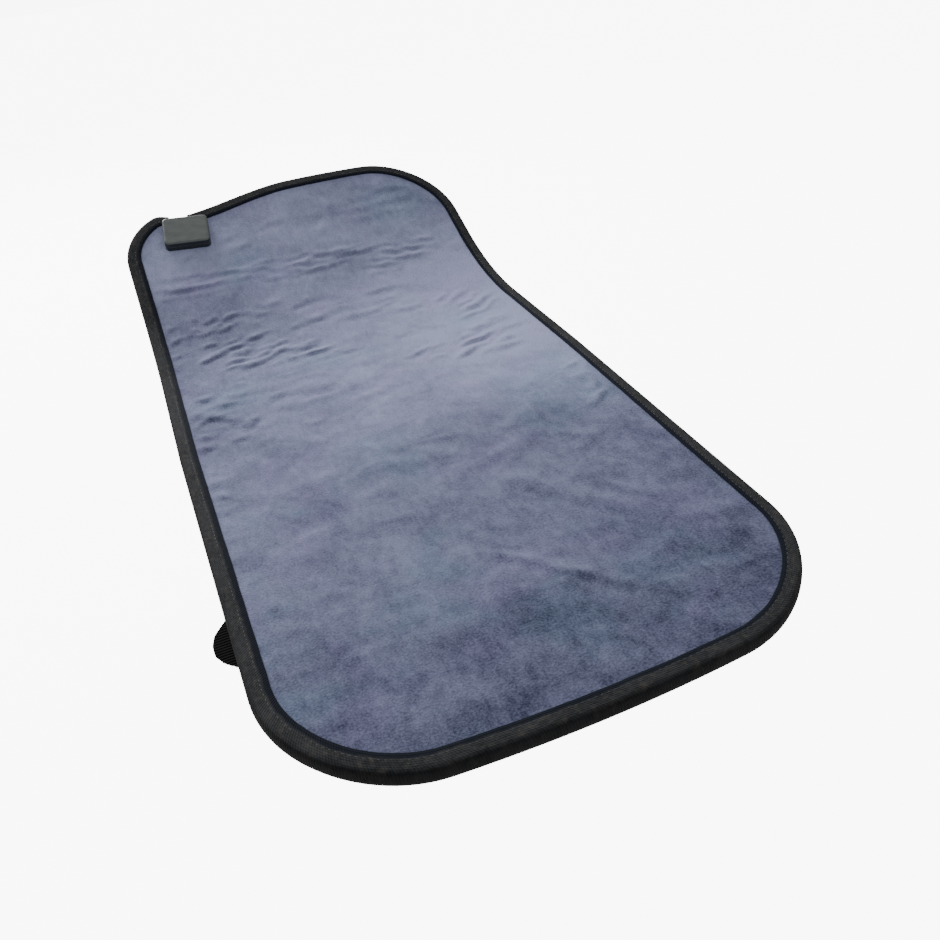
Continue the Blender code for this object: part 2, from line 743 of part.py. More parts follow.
def build_leads():
    """The two leads drop from the socket into the wire layer and run to the ends of the far heating wire."""
    wire_start_x = -PAD_WIDTH / 2 + WIRE_MARGIN
    radius = 0.55 * MM
    tube(
        "lead_live",
        [
            *lead_start(DOCK_X + 4 * MM),
            (FAR_WIRE_END - 8 * MM, LEAD_S - 10 * MM, WIRE_HEIGHT),
            (FAR_WIRE_END - 2 * MM, FAR_WIRE_LAST - 2 * MM, WIRE_HEIGHT),
        ],
        radius,
        lead_red,
    )
    tube(
        "lead_neutral",
        [
            *lead_start(DOCK_X - 4 * MM),
            (wire_start_x - 13 * MM, LEAD_S - 11 * MM, WIRE_HEIGHT),
            (wire_start_x - 13 * MM, FAR_WIRE_FIRST + 3 * MM, WIRE_HEIGHT),
            (wire_start_x - 3 * MM, FAR_WIRE_FIRST - 1 * MM, WIRE_HEIGHT),
        ],
        radius,
        lead_blue,
    )


# ---------------------------------------------------------------- the strap


def build_strap():
    half = STRAP_WIDTH / 2
    low = STRAP_TOP - STRAP_CLOTH
    near_end = (STRAP_END_ROOT_X + GAP, STRAP_S - half, low)
    box("strap_elastic", near_end, (STRAP_SEAM_X, STRAP_S + half, STRAP_TOP), elastic)
    corner = STRAP_TIP_CORNER
    outline = [(STRAP_END_ROOT_X - GAP, STRAP_S - half), (STRAP_END_ROOT_X - GAP, STRAP_S + half)]
    for way in (1, -1):
        for step in range(CORNER_STEPS + 1):
            angle = math.radians(90) * step / CORNER_STEPS
            if way == -1:
                angle = math.radians(90) - angle
            x = STRAP_TIP_X + corner - corner * math.sin(angle)
            s = STRAP_S + way * (half - corner + corner * math.cos(angle))
            outline.append((x, s))
    plate("strap_end", outline, (low, STRAP_TOP), elastic)
    patch_half = PATCH_LENGTH / 2
    margin = 3 * MM
    hook_low = STRAP_TOP + GAP
    loop_low = hook_low + PATCH_CLOTH + GAP
    box(
        "hook_patch",
        (PATCH_X - patch_half, STRAP_S - half + margin, hook_low),
        (PATCH_X + patch_half, STRAP_S + half - margin, hook_low + PATCH_CLOTH),
        hook_tape,
    )
    box(
        "loop_patch",
        (PATCH_X - patch_half, STRAP_S - half + margin, loop_low),
        (PATCH_X + patch_half, STRAP_S + half - margin, loop_low + PATCH_CLOTH),
        loop_tape,
    )


clear_scene()
blanket = collection("infrared_heat_blanket")
cutters = collection("cutters")

velvet = material("velvet", (0.20, 0.21, 0.30), 0.9)
tape = material("binding_tape", (0.035, 0.036, 0.038), 0.85)
oxford = material("oxford_cloth", (0.05, 0.05, 0.055), 0.8)
wadding = material("wadding", (0.85, 0.85, 0.83), 0.95)
foil = material("foil", (0.8, 0.8, 0.82), 0.3, 0.9)
felt = material("felt", (0.75, 0.75, 0.72), 0.95)
carbon_wire = material("heating_wire", (0.03, 0.03, 0.03), 0.5)
shell_plastic = material("shell_plastic", (0.10, 0.11, 0.11), 0.35)
carrier_plastic = material("carrier_plastic", (0.02, 0.02, 0.02), 0.5)
board_green = material("board", (0.03, 0.12, 0.05), 0.5)
brass = material("brass", (0.72, 0.55, 0.25), 0.25, 1.0)
steel = material("steel", (0.6, 0.6, 0.6), 0.3, 1.0)
resin = material("resin", (0.02, 0.02, 0.02), 0.4)
lead_red = material("lead_red", (0.4, 0.03, 0.03), 0.5)
lead_blue = material("lead_blue", (0.03, 0.06, 0.35), 0.5)
elastic = material("elastic", (0.012, 0.012, 0.012), 0.8)
hook_tape = material("hook_tape", (0.015, 0.015, 0.015), 0.9)
loop_tape = material("loop_tape", (0.02, 0.02, 0.02), 0.95)

def pivot(name, place):
    """An empty on a joint's axis. What turns about that axis hangs from it."""
    empty = bpy.data.objects.new(name, None)
    blanket.objects.link(empty)
    empty.location = place
    return empty


def hang(empty, *children):
    """Hangs objects from an empty without moving them."""
    bpy.context.view_layer.update()
    for child in children:
        child.parent = empty
        child.matrix_parent_inverse = empty.matrix_world.inverted()


def hang_from_axes():
    """Hangs each moving piece from its joint's axis, and everything from the origin on the underside."""
    origin = pivot("blanket_origin", (0, 0, 0))
    fold_middle = pivot("fold_middle_axis", laid(0, HALF_FOLD, BINDING_TOP))
    fold_far = pivot("fold_far_axis", laid(0, FAR_FOLD, BINDING_TOP))
    strap_swing = pivot("strap_swing_axis", (STRAP_SEAM_X, STRAP_S, STRAP_TOP))
    strap_peel = pivot("strap_peel_axis", (STRAP_END_ROOT_X, STRAP_S, STRAP_TOP - STRAP_CLOTH))
    hang(origin, fold_middle, strap_swing)
    hang(fold_middle, fold_far)
    hang(fold_far, far_frame)
    hang(strap_swing, strap_peel)
    axis_of = {"strap_elastic": strap_swing, "strap_end": strap_peel, "hook_patch": strap_peel}
    for obj in [*blanket.objects, *cutters.objects]:
        if obj.type != "MESH" or obj.parent:
            continue
        if "_mid" in obj.name:
            hang(fold_middle, obj)
        elif "_far" in obj.name or obj.name.startswith("lead_"):
            hang(fold_far, obj)
        else:
            hang(axis_of.get(obj.name, origin), obj)
    origin.location.y = -REST_POINT


# The straight part of the far panel is a tilted frame in which pattern coordinates hold.
far_frame = bpy.data.objects.new("far_panel_frame", None)
blanket.objects.link(far_frame)
curl_y, curl_z, curl_slope = profile(CURL_END)
far_frame.location = (0, curl_y - CURL_END * math.cos(curl_slope), curl_z - CURL_END * math.sin(curl_slope))
far_frame.rotation_euler = (curl_slope, 0, 0)

# The housing has its own frame in the far panel's, turned about the housing's centre.
dock_frame = bpy.data.objects.new("socket_frame", None)
blanket.objects.link(dock_frame)
dock_frame.parent = far_frame
dock_frame.location = (*turned(0, 0), 0)
dock_frame.rotation_euler = (0, 0, -DOCK_TURN)

build_pad()
build_heater()
build_dock()
build_leads()
build_strap()
hang_from_axes()
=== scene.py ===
"""Looks of the infrared heat blanket: velvet, binding, strap and socket, over the CAD frame."""

import math
import random

import bmesh
import bpy
import numpy as np
from mathutils import Matrix, Vector, noise


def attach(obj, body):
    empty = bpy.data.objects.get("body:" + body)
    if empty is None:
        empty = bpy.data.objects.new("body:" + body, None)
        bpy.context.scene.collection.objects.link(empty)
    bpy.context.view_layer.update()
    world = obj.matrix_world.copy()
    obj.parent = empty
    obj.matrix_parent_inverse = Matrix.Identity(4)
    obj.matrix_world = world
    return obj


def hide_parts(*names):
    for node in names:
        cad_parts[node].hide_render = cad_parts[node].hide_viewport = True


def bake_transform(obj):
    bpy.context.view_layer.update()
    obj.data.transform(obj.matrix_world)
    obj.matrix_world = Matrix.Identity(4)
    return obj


MM = 0.001

# Pad outline, in pattern coordinates: x across, s along the surface from the pad's middle, n up from
# the underside
PAD_WIDTH = 300 * MM
PAD_LENGTH = 630 * MM
END_BOW = 12 * MM  # how far the middle of each end stands out
DIP = 9.5 * MM  # how far the far edge is drawn in behind the socket
DIP_RISE = (-118 * MM, -92 * MM)
DIP_FALL = (-86 * MM, 10 * MM)
SIDE_LENGTH = PAD_LENGTH - 2 * END_BOW
FAR_TAPER = 0.04  # how much narrower the far end is
CORNERS = {(1, -1): 74 * MM, (1, 1): 68 * MM, (-1, 1): 42 * MM, (-1, -1): 74 * MM}  # radius by side and end
CORNER_STEPS = 24
EDGE_PITCH = 2.5 * MM

# Side profile
FRAME_SHIFT = 40 * MM  # world y of the pattern's zero
FAR_FOLD = PAD_LENGTH / 4
CURL_START = FAR_FOLD - 50 * MM
CURL_LENGTH = 100 * MM
CURL_ANGLE = math.radians(28)
CURL_RADIUS = CURL_LENGTH / CURL_ANGLE

# Where sheets that cross both folds are parted, and a spread each way from each fold
PART_S = 79 * MM
FOLD_SPREAD = 14 * MM  # each way from the middle fold
CURL_SPREAD = 22 * MM  # each way from the far fold, where the pad is curled already
FOLD_AXIS_N = 8.6 * MM

# Layers, from the underside up
BOTTOM_COVER = (0.0, 0.6 * MM)
BOTTOM_WADDING = (0.9 * MM, 2.1 * MM)
FOIL = (2.4 * MM, 2.6 * MM)
HEATER_FELT = (2.9 * MM, 3.3 * MM)
TOP_WADDING = (5.1 * MM, 6.5 * MM)
VELVET = (6.8 * MM, 7.6 * MM)

# Binding
BINDING_WIDTH = 12.2 * MM  # at the left edge, where most of the tape lies on top
BINDING_NARROWS = 2.0 * MM  # how much less it is at the right edge
TAPE_WIDTH = 10.5 * MM  # the span that the tape's own pattern is drawn over
BINDING_CLOTH = 0.7 * MM
BINDING_TOP = 8.6 * MM
BINDING_BOTTOM = -1.0 * MM
BINDING_ROUNDING = 0.35 * MM  # at the tape's two sewn edges
BINDING_SIDE_DEPTH = 1.9 * MM  # how far the tape's round side bulges outwards
BINDING_SIDE_ANGLES = (65, 40, 20, 0, -20, -40, -65)
BINDING_SLIM = 9 * MM  # a flange narrower than this has been cut short by the socket
NOTCH_X = -92 * MM
NOTCH_WIDTH = 15 * MM

# Socket
DOCK_X = -90 * MM
DOCK_WIDTH = 38 * MM
DOCK_LENGTH = 30 * MM
DOCK_SETBACK = 9 * MM
DOCK_TURN = math.radians(9)  # clockwise from above
DOCK_CLEARANCE = 0.5 * MM  # between the socket and the tape

# Strap
STRAP_S = -176 * MM
STRAP_WIDTH = 50 * MM
STRAP_TOP = -2.5 * MM
STRAP_CLOTH = 1.4 * MM
STRAP_SEAM_X = 146 * MM
STRAP_END_ROOT_X = -98 * MM
STRAP_TIP_X = -159 * MM
STRAP_CORD = 2.0 * MM  # pitch of its cords
PATCH_X = -119 * MM
PATCH_LENGTH = 34 * MM
PATCH_CLOTH = 0.8 * MM

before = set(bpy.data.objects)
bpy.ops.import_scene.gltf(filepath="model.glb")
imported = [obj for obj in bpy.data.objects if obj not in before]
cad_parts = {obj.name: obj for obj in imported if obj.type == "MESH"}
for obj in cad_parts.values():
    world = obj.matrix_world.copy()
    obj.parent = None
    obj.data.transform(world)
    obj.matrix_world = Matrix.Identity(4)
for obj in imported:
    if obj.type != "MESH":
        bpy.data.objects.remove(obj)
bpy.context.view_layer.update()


# ---- pattern and profile


def gate(value, low, high):
    """0 below low, 1 above high, smooth between."""
    share = np.clip((value - low) / (high - low), 0, 1)
    return share * share * (3 - 2 * share)


def end_bow(x, s):
    """How far the bowed ends move pattern points along s."""
    share = np.minimum(1.0, np.abs(2 * s / SIDE_LENGTH)) ** 4
    bow = END_BOW * (1 - (2 * x / PAD_WIDTH) ** 2)
    dip = DIP * gate(x, *DIP_RISE) * (1 - gate(x, *DIP_FALL))
    return np.where(s > 0, bow - dip, -bow) * share


def narrowing(s):
    """The share of its width that the pad has at s."""
    return 1 - FAR_TAPER * np.clip(2 * s / SIDE_LENGTH, 0, 1)


def outline():
    """The pad's edge as pattern points, counter-clockwise and evenly spaced."""
    half_pad, half_length = PAD_WIDTH / 2, SIDE_LENGTH / 2
    points = []
    for quarter, ((side, end), radius) in enumerate(CORNERS.items()):
        centre = (side * (half_pad - radius), end * (half_length - radius))
        for step in range(CORNER_STEPS + 1):
            angle = math.radians(90) * (quarter - 1 + step / CORNER_STEPS)
            points.append((centre[0] + radius * math.cos(angle), centre[1] + radius * math.sin(angle)))
    dense = resample(np.array(points), 1 * MM)
    dense = np.c_[dense[:, 0] * narrowing(dense[:, 1]), dense[:, 1] + end_bow(dense[:, 0], dense[:, 1])]
    return resample(dense, EDGE_PITCH)


def resample(points, pitch):
    """A closed run of points, evenly spaced."""
    closed = np.vstack([points, points[:1]])
    lengths = np.r_[0, np.cumsum(np.linalg.norm(np.diff(closed, axis=0), axis=1))]
    count = int(round(lengths[-1] / pitch))
    wanted = np.linspace(0, lengths[-1], count, endpoint=False)
    return np.c_[np.interp(wanted, lengths, closed[:, 0]), np.interp(wanted, lengths, closed[:, 1])]


EDGE = outline()


def edge_distance(x, s):
    """Signed distance from pattern points to the pad's edge, positive inside."""
    flat = np.c_[np.ravel(x), np.ravel(s)]
    result = np.full(len(flat), np.inf)
    following = np.roll(EDGE, -1, axis=0)
    inside = np.zeros(len(flat), bool)
    for a, b in zip(EDGE, following):
        along = b - a
        share = np.clip(((flat - a) @ along) / (along @ along), 0, 1)
        gap = np.linalg.norm(flat - a - share[:, None] * along, axis=1)
        result = np.minimum(result, gap)
        crosses = (a[1] > flat[:, 1]) != (b[1] > flat[:, 1])
        with np.errstate(divide="ignore", invalid="ignore"):
            meet = a[0] + (flat[:, 1] - a[1]) * along[0] / along[1]
        inside ^= crosses & (flat[:, 0] < meet)
    return np.where(inside, result, -result).reshape(np.shape(x))


def laid(x, s, n):
    """World points of pattern points on the curled profile."""
    x, s, n = np.broadcast_arrays(np.asarray(x, float), np.asarray(s, float), np.asarray(n, float))
    slope = np.clip(s - CURL_START, 0, CURL_LENGTH) / CURL_RADIUS
    beyond = np.maximum(0, s - CURL_START - CURL_LENGTH)
    y = np.where(s <= CURL_START, s, CURL_START + CURL_RADIUS * np.sin(slope)) + beyond * np.cos(slope)
    z = CURL_RADIUS * (1 - np.cos(slope)) + beyond * np.sin(slope)
    return np.stack([x, y - n * np.sin(slope) + FRAME_SHIFT, z + n * np.cos(slope)], axis=-1)


def edge_s(x):
    """Where the far edge lies at x, away from the corners."""
    return SIDE_LENGTH / 2 + float(end_bow(np.array(x), np.array(SIDE_LENGTH / 2)))


DOCK_FAR = edge_s(DOCK_X) - DOCK_SETBACK
DOCK_S = DOCK_FAR - DOCK_LENGTH / 2


def from_dock(x, s):
    """Distances of pattern points from the socket's centre, along and across the turned socket."""
    dx, ds = x - DOCK_X, s - DOCK_S
    sine, cosine = math.sin(DOCK_TURN), math.cos(DOCK_TURN)
    return np.abs(dx * cosine - ds * sine), np.abs(dx * sine + ds * cosine)


def soft_noise(x, s, size, seed):
    """Smooth noise of about -1 to 1 on pattern points, its features about size across."""
    flat = zip(np.ravel(x) / size, np.ravel(s) / size)
    values = [noise.noise(Vector((a, b, seed * 7.31))) for a, b in flat]
    return np.array(values).reshape(np.shape(x)) * 1.6


# ---- meshes


def mesh_object(name, points, faces):
    mesh = bpy.data.meshes.new(name)
    mesh.from_pydata([tuple(p) for p in points], [], faces)
    mesh.update()
    obj = bpy.data.objects.new(name, mesh)
    bpy.context.scene.collection.objects.link(obj)
    mesh.shade_smooth()
    return obj


def give_pattern(obj, coordinates, name="pattern"):
    """Stores a coordinate for each vertex, for the materials to read."""
    attribute = obj.data.attributes.new(name, "FLOAT_VECTOR", "POINT")
    attribute.data.foreach_set("vector", np.asarray(coordinates, np.float32).ravel())


def cell_depths(depth):
    """The mean depth of each cell of a grid."""
    return (depth[1:, 1:] + depth[:-1, 1:] + depth[1:, :-1] + depth[:-1, :-1]) / 4


def cell_middles(x, s):
    """The middle of each cell of a grid."""
    return (x[1:, 1:] + x[:-1, :-1]) / 2, (s[1:, 1:] + s[:-1, :-1]) / 2


def whole(x):
    """Every cell of a grid is kept."""
    return np.ones((x.shape[0] - 1, x.shape[1] - 1), bool)


def slab(name, x, s, low, high, keep, crease=None):
    """A closed sheet on a grid of pattern points, kept where keep is true for a cell."""
    rows, columns = x.shape
    index = -np.ones((2, rows, columns), int)
    used = np.zeros((rows, columns), bool)
    for a, b in ((0, 0), (0, 1), (1, 0), (1, 1)):
        used[a : rows - 1 + a, b : columns - 1 + b] |= keep
    count = int(used.sum())
    index[0][used] = np.arange(count)
    index[1][used] = np.arange(count) + count
    points = np.vstack([laid(x[used], s[used], low[used]), laid(x[used], s[used], high[used])])
    faces, walls = [], []
    for i, j in zip(*np.nonzero(keep)):
        corners = ((i, j), (i, j + 1), (i + 1, j + 1), (i + 1, j))
        faces.append([int(index[1][c]) for c in corners])
        faces.append([int(index[0][c]) for c in reversed(corners)])
        sides = (((i - 1, j), 0, 1), ((i, j + 1), 1, 2), ((i + 1, j), 2, 3), ((i, j - 1), 3, 0))
        for (ni, nj), p, q in sides:
            if not (0 <= ni < rows - 1 and 0 <= nj < columns - 1 and keep[ni, nj]):
                a, b = corners[p], corners[q]
                walls.append([int(index[0][a]), int(index[0][b]), int(index[1][b]), int(index[1][a])])
    obj = mesh_object(name, points, faces + walls)
    flat = np.c_[x[used], s[used], np.zeros(count)]
    give_pattern(obj, np.vstack([flat, flat]))
    # Crease slopes, which the velvet's material turns into painted shade
    if crease is not None:
        marks = np.c_[crease[used], np.zeros(count)]
        give_pattern(obj, np.vstack([marks, marks]), "crease")
    obj.data.set_sharp_from_angle(angle=math.radians(50))
    return obj


FOLD_ROWS = 2.5 * MM  # apart, over a fold
FOLD_ROWS_PAST = 8 * MM  # how far past the fold's spread they go on


def fold_rows(first, last, pitch):
    """Rows along s, closer together over the folds."""
    rows = [first]
    while rows[-1] < last:
        s = rows[-1]
        near_fold = min(abs(s), abs(s - FAR_FOLD)) < CURL_SPREAD + FOLD_ROWS_PAST
        rows.append(min(last, s + (FOLD_ROWS if near_fold else pitch)))
    if rows[-1] - rows[-2] < 0.5 * MM:
        del rows[-2]
    return np.array(rows)


NEAR_PART = (-PAD_LENGTH / 2 - 5 * MM, PART_S)
FAR_PART = (PART_S, PAD_LENGTH / 2 + 5 * MM)


def bend_over(obj, fold, spread):
    """Bakes a piece's placement into its mesh; the fold's two ends are worked out but not used."""
    start, end = (laid(0, fold + way * spread, FOLD_AXIS_N) for way in (-1, 1))
    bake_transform(obj)


def bend_near(obj):
    bend_over(obj, 0, FOLD_SPREAD)


def bend_far(obj):
    bend_over(obj, FAR_FOLD, CURL_SPREAD)


# ---- materials


class Shader:
    """A node material, built by naming nodes and wiring their inputs."""

    def __init__(self, name):
        self.material = bpy.data.materials.new(name)
        self.material.use_nodes = True
        self.nodes = self.material.node_tree.nodes
        self.links = self.material.node_tree.links
        self.surface = self.nodes["Principled BSDF"]

    def put(self, kind, inputs=None, **settings):
        node = self.nodes.new(kind)
        for key, value in settings.items():
            setattr(node, key, value)
        self.wire(node, inputs or {})
        return node

    def wire(self, node, inputs):
        for key, value in inputs.items():
            socket = node.inputs[key]
            if isinstance(value, bpy.types.NodeSocket):
                self.links.new(value, socket)
            elif isinstance(value, bpy.types.Node):
                self.links.new(value.outputs[0], socket)
            else:
                socket.default_value = (*value, 1.0) if socket.type == "RGBA" else value

    def finish(self, colour, roughness, normal=None, **more):
        self.wire(self.surface, {"Base Color": colour, "Roughness": roughness})
        if normal is not None:
            self.wire(self.surface, {"Normal": normal})
        self.wire(self.surface, {key.replace("_", " "): value for key, value in more.items()})
        return self.material

    def at(self, attribute="pattern", scale=(1, 1, 1), turn=0.0):
        """Coordinates read from the mesh, stretched and turned."""
        source = self.put("ShaderNodeAttribute", attribute_name=attribute).outputs["Vector"]
        return self.placed(source, scale, turn)

    def local(self, scale=(1, 1, 1), turn=0.0):
        """Coordinates of the object itself."""
        return self.placed(self.put("ShaderNodeTexCoord").outputs["Object"], scale, turn)

    def placed(self, source, scale, turn):
        return self.put("ShaderNodeMapping", {"Vector": source, "Scale": scale, "Rotation": (0, 0, turn)})

    def noise(self, where, size, detail=2.0, roughness=0.5, seed=0.0, distortion=0.0):
        """Noise of 0 to 1 with features about size metres across."""
        shifted = self.put("ShaderNodeVectorMath", {0: where, 1: (seed, seed * 0.7, seed * 1.3)})
        inputs = {"Vector": shifted, "Scale": 1 / size, "Detail": detail, "Roughness": roughness}
        return self.put("ShaderNodeTexNoise", inputs | {"Distortion": distortion}).outputs[0]

    def math(self, operation, a, b=0.0, c=0.0, clamp=False):
        return self.put("ShaderNodeMath", {0: a, 1: b, 2: c}, operation=operation, use_clamp=clamp).outputs[0]

    def plus(self, a, b, clamp=False):
        return self.math("ADD", a, b, clamp=clamp)

    def times(self, a, b):
        return self.math("MULTIPLY", a, b)

    def scaled(self, value, factor, base, clamp=False):
        return self.math("MULTIPLY_ADD", value, factor, base, clamp)

    def ramp(self, value, low, high, out_low=0.0, out_high=1.0):
        inputs = {"Value": value, 1: low, 2: high, 3: out_low, 4: out_high}
        return self.put("ShaderNodeMapRange", inputs, interpolation_type="SMOOTHSTEP").outputs[0]

    def mix(self, factor, a, b):
        return self.put("ShaderNodeMix", {0: factor, 6: a, 7: b}, data_type="RGBA").outputs[2]

    def split(self, vector):
        """The first two coordinates of a place."""
        parts = self.put("ShaderNodeSeparateXYZ", {0: vector})
        return parts.outputs[0], parts.outputs[1]

    def wave(self, value, length):
        return self.math("SINE", self.times(value, 2 * math.pi / length))

    def around(self, value, share, base):
        """Adds share of a 0 to 1 value's distance from its middle."""
        return self.scaled(self.math("SUBTRACT", value, 0.5), share, base)

    def spot(self, flat, place, inner, outer, strength):
        """A round patch: strength within inner metres of a pattern point, 0 beyond outer."""
        inputs = {0: flat, 1: (*place, 0.0)}
        away = self.put("ShaderNodeVectorMath", inputs, operation="DISTANCE").outputs["Value"]
        return self.ramp(away, inner, outer, strength, 0.0)

    def tinted(self, colour, factor, share, other):
        return self.mix(self.times(factor, share), colour, other)

    def bump(self, height, distance, strength=1.0, normal=None):
        inputs = {"Height": height, "Distance": distance, "Strength": strength}
        if normal is not None:
            inputs["Normal"] = normal
        return self.put("ShaderNodeBump", inputs).outputs[0]


# The velvet's pile, dark to light, and the casts that its nap takes in places; the lightness that picks
# between dark and light carries painted sheen and shade
PILE = (0.022, 0.025, 0.056), (0.305, 0.328, 0.485)
PILE_TEAL = (0.020, 0.038, 0.066), (0.22, 0.31, 0.44)
PILE_PURPLE = (0.038, 0.028, 0.072), (0.33, 0.28, 0.52)
TEAL_SPOTS = (  # place and radius, in metres
    ((0.111, -0.047), 0.050),
    ((-0.047, 0.225), 0.030),
    ((0.092, 0.262), 0.036),
    ((-0.105, 0.060), 0.030),
)
# Centre of a painted sheen spot on the velvet, in metres
PAINTED_SHEEN_SPOT = (0.105, -0.020)


def velvet_nap_and_painted_sheen(m, flat, x, s):
    """How light the pad is painted: random nap, with painted sheen lighter past the middle, painted shade
    darkest at the near end and past the far curl, one side painted lighter than the other, and a painted
    sheen spot.
    """
    broad = m.noise(flat, 0.085, detail=3, roughness=0.55, seed=3.1)
    wander = m.scaled(broad, 0.20, -0.10)
    level = m.plus(m.scaled(x, -0.04, s), wander)
    nap_and_painted_light = m.scaled(m.ramp(level, -0.125, 0.045), 0.35, 0.405)
    # Painted light: one side of the pad lighter than the other, the lighter side changing along the pad
    lean = m.times(x, m.ramp(s, -0.09, 0.03, -0.5, 2.3))
    nap_and_painted_light = m.scaled(lean, m.ramp(s, 0.16, 0.26, 1.0, -0.5), nap_and_painted_light)
    # Painted shade towards the near end and past the far curl, then the painted sheen spot
    nap_and_painted_light = m.plus(m.ramp(s, -0.30, -0.17, -0.18, 0.0), nap_and_painted_light)
    nap_and_painted_light = m.plus(m.ramp(s, 0.235, 0.285, 0.0, -0.06), nap_and_painted_light)
    return m.plus(m.spot(flat, PAINTED_SHEEN_SPOT, 0.025, 0.085, 0.15), nap_and_painted_light)


def velvet_material():
    """Short brushed pile: patches of nap lying light or dark, painted shade on the slopes of the creases that
    face the near end, and painted sheen and shade over the pad.
    """
    m = Shader("velvet_pile")
    flat = m.at()
    x, s = m.split(flat)
    slanting = m.at(scale=(1, 1.3, 1), turn=0.5)
    patches = m.noise(slanting, 0.034, detail=5, roughness=0.62, seed=8.7, distortion=0.6)
    strokes = m.noise(m.at(scale=(1, 0.5, 1), turn=0.25), 0.005, detail=5, roughness=0.7, seed=1.9)
    fine = m.noise(flat, 0.0013, detail=2, roughness=0.7, seed=5.3)
    tone = m.around(fine, 1.5, m.around(strokes, 1.3, m.scaled(patches, 2.0, -1.0)))
    # Painted shade: crease slopes that face the near end, away from the light behind, are darkened, and those
    # facing the far end are painted lighter
    crease_slope_painted_shade, _ = m.split(m.at("crease"))
    tone = m.scaled(crease_slope_painted_shade, -2.2, tone)
    nap_and_painted_light = m.scaled(tone, 0.42, velvet_nap_and_painted_sheen(m, flat, x, s), clamp=True)
    teal = m.noise(m.at(scale=(1, 1.2, 1)), 0.070, detail=4, roughness=0.6, seed=21.4)
    teal = m.ramp(teal, 0.52, 0.70)
    for place, radius in TEAL_SPOTS:
        teal = m.plus(teal, m.spot(flat, place, radius * 0.4, radius * 1.2, 0.9), clamp=True)
    purple = m.ramp(m.noise(flat, 0.060, detail=4, roughness=0.6, seed=33.0), 0.48, 0.66)
    colour = m.tinted(m.mix(nap_and_painted_light, *PILE), teal, 0.42, m.mix(nap_and_painted_light, *PILE_TEAL))
    colour = m.tinted(colour, purple, 0.28, m.mix(nap_and_painted_light, *PILE_PURPLE))
    height = m.scaled(strokes, 0.7, m.times(fine, 0.6))
    return m.finish(
        colour,
        0.95,
        m.bump(height, 0.0014, 0.8),
        Sheen_Weight=0.22,
        Sheen_Roughness=0.5,
        Sheen_Tint=(0.62, 0.66, 0.95),
        Specular_IOR_Level=0.05,
    )


# Pitches of the weaves, in metres
TAPE_RIB = 0.0016
TAPE_YARN = 0.0011
THREAD_TWIST = 2 * math.pi / 9000
OXFORD_YARN = 0.0013


def tape_material():
    """Ribbed woven tape, dark grey with worn warm specks; a painted navy shade along its sewn edge, where it
    meets the velvet, and painted shade darkening its round outer side.
    """
    m = Shader("binding_weave")
    run = m.at("tape")
    along, across = m.split(run)
    ribs = m.wave(m.scaled(across, 0.8, along), TAPE_RIB)
    weave = m.scaled(ribs, 0.6, m.times(m.wave(across, TAPE_YARN), 0.4))
    specks = m.noise(m.at("tape", scale=(0.6, 1.2, 1)), 0.0022, detail=3, roughness=0.7, seed=2.2)
    broad = m.noise(run, 0.018, detail=3, seed=6.1)
    tone = m.around(specks, 0.9, m.scaled(broad, 0.5, 0.05))
    tone = m.scaled(weave, 0.12, tone, clamp=True)
    colour = m.mix(tone, (0.0055, 0.0065, 0.0085), (0.064, 0.066, 0.070))
    warm = m.noise(m.at("tape", scale=(0.8, 1.2, 1)), 0.0035, detail=4, roughness=0.7, seed=9.4)
    colour = m.tinted(colour, m.ramp(warm, 0.50, 0.68), 0.6, (0.060, 0.054, 0.046))
    # Painted shade: a dark navy band along the sewn edge, in the groove where the tape meets the velvet
    seam_painted_shade_across = m.scaled(m.noise(run, 0.008, detail=3, seed=14.0), 0.0018, across)
    colour = m.tinted(colour, m.ramp(seam_painted_shade_across, 0.0080, 0.0092), 0.9, (0.0016, 0.0040, 0.0110))
    # Painted shade: the tape's round outer side is darkened to near black
    outer = m.ramp(across, 0.0006, 0.0022, 1.0, 0.0)
    colour = m.tinted(colour, outer, 0.7, (0.003, 0.003, 0.0035))
    normal = m.bump(m.scaled(weave, 0.5, specks), 0.0004, 0.7)
    return m.finish(colour, 0.9, normal, Specular_IOR_Level=0.12, Sheen_Weight=0.02)


def thread_material():
    """Twisted sewing thread."""
    m = Shader("sewing_thread")
    along, _ = m.split(m.at("tape"))
    twist = m.wave(along, THREAD_TWIST)
    colour = m.mix(m.scaled(twist, 0.3, 0.5), (0.008, 0.009, 0.012), (0.035, 0.036, 0.042))
    return m.finish(colour, 0.6, m.bump(twist, 0.0001, 0.5))


def webbing_material():
    """Black ribbed elastic."""
    m = Shader("elastic_webbing")
    flat = m.at()
    x, s = m.split(flat)
    weave = m.scaled(m.wave(x, 0.0009), 0.35, m.wave(s, STRAP_CORD))
    wear = m.noise(flat, 0.012, detail=4, seed=4.2)
    tone = m.scaled(weave, 0.15, wear, clamp=True)
    colour = m.mix(tone, (0.0004, 0.0004, 0.0005), (0.0022, 0.0022, 0.0025))
    normal = m.bump(weave, 0.0003, 0.6)
    return m.finish(colour, 0.8, normal, Specular_IOR_Level=0.08)


def oxford_material():
    """Dark coated woven cloth on the underside, with a faint bloom of wear."""
    m = Shader("oxford_weave")
    flat = m.at()
    x, s = m.split(flat)
    weave = m.times(m.wave(x, OXFORD_YARN), m.wave(s, OXFORD_YARN))
    wear = m.noise(flat, 0.05, detail=5, roughness=0.6, seed=12.0)
    tone = m.scaled(weave, 0.10, wear, clamp=True)
    colour = m.mix(tone, (0.024, 0.025, 0.030), (0.072, 0.072, 0.078))
    crease = m.noise(m.at(scale=(1, 2.5, 1)), 0.03, detail=3, seed=17.0)
    normal = m.bump(weave, 0.0003, 0.45, m.bump(crease, 0.004, 0.25))
    return m.finish(colour, m.ramp(wear, 0.3, 0.7, 0.55, 0.8), normal)


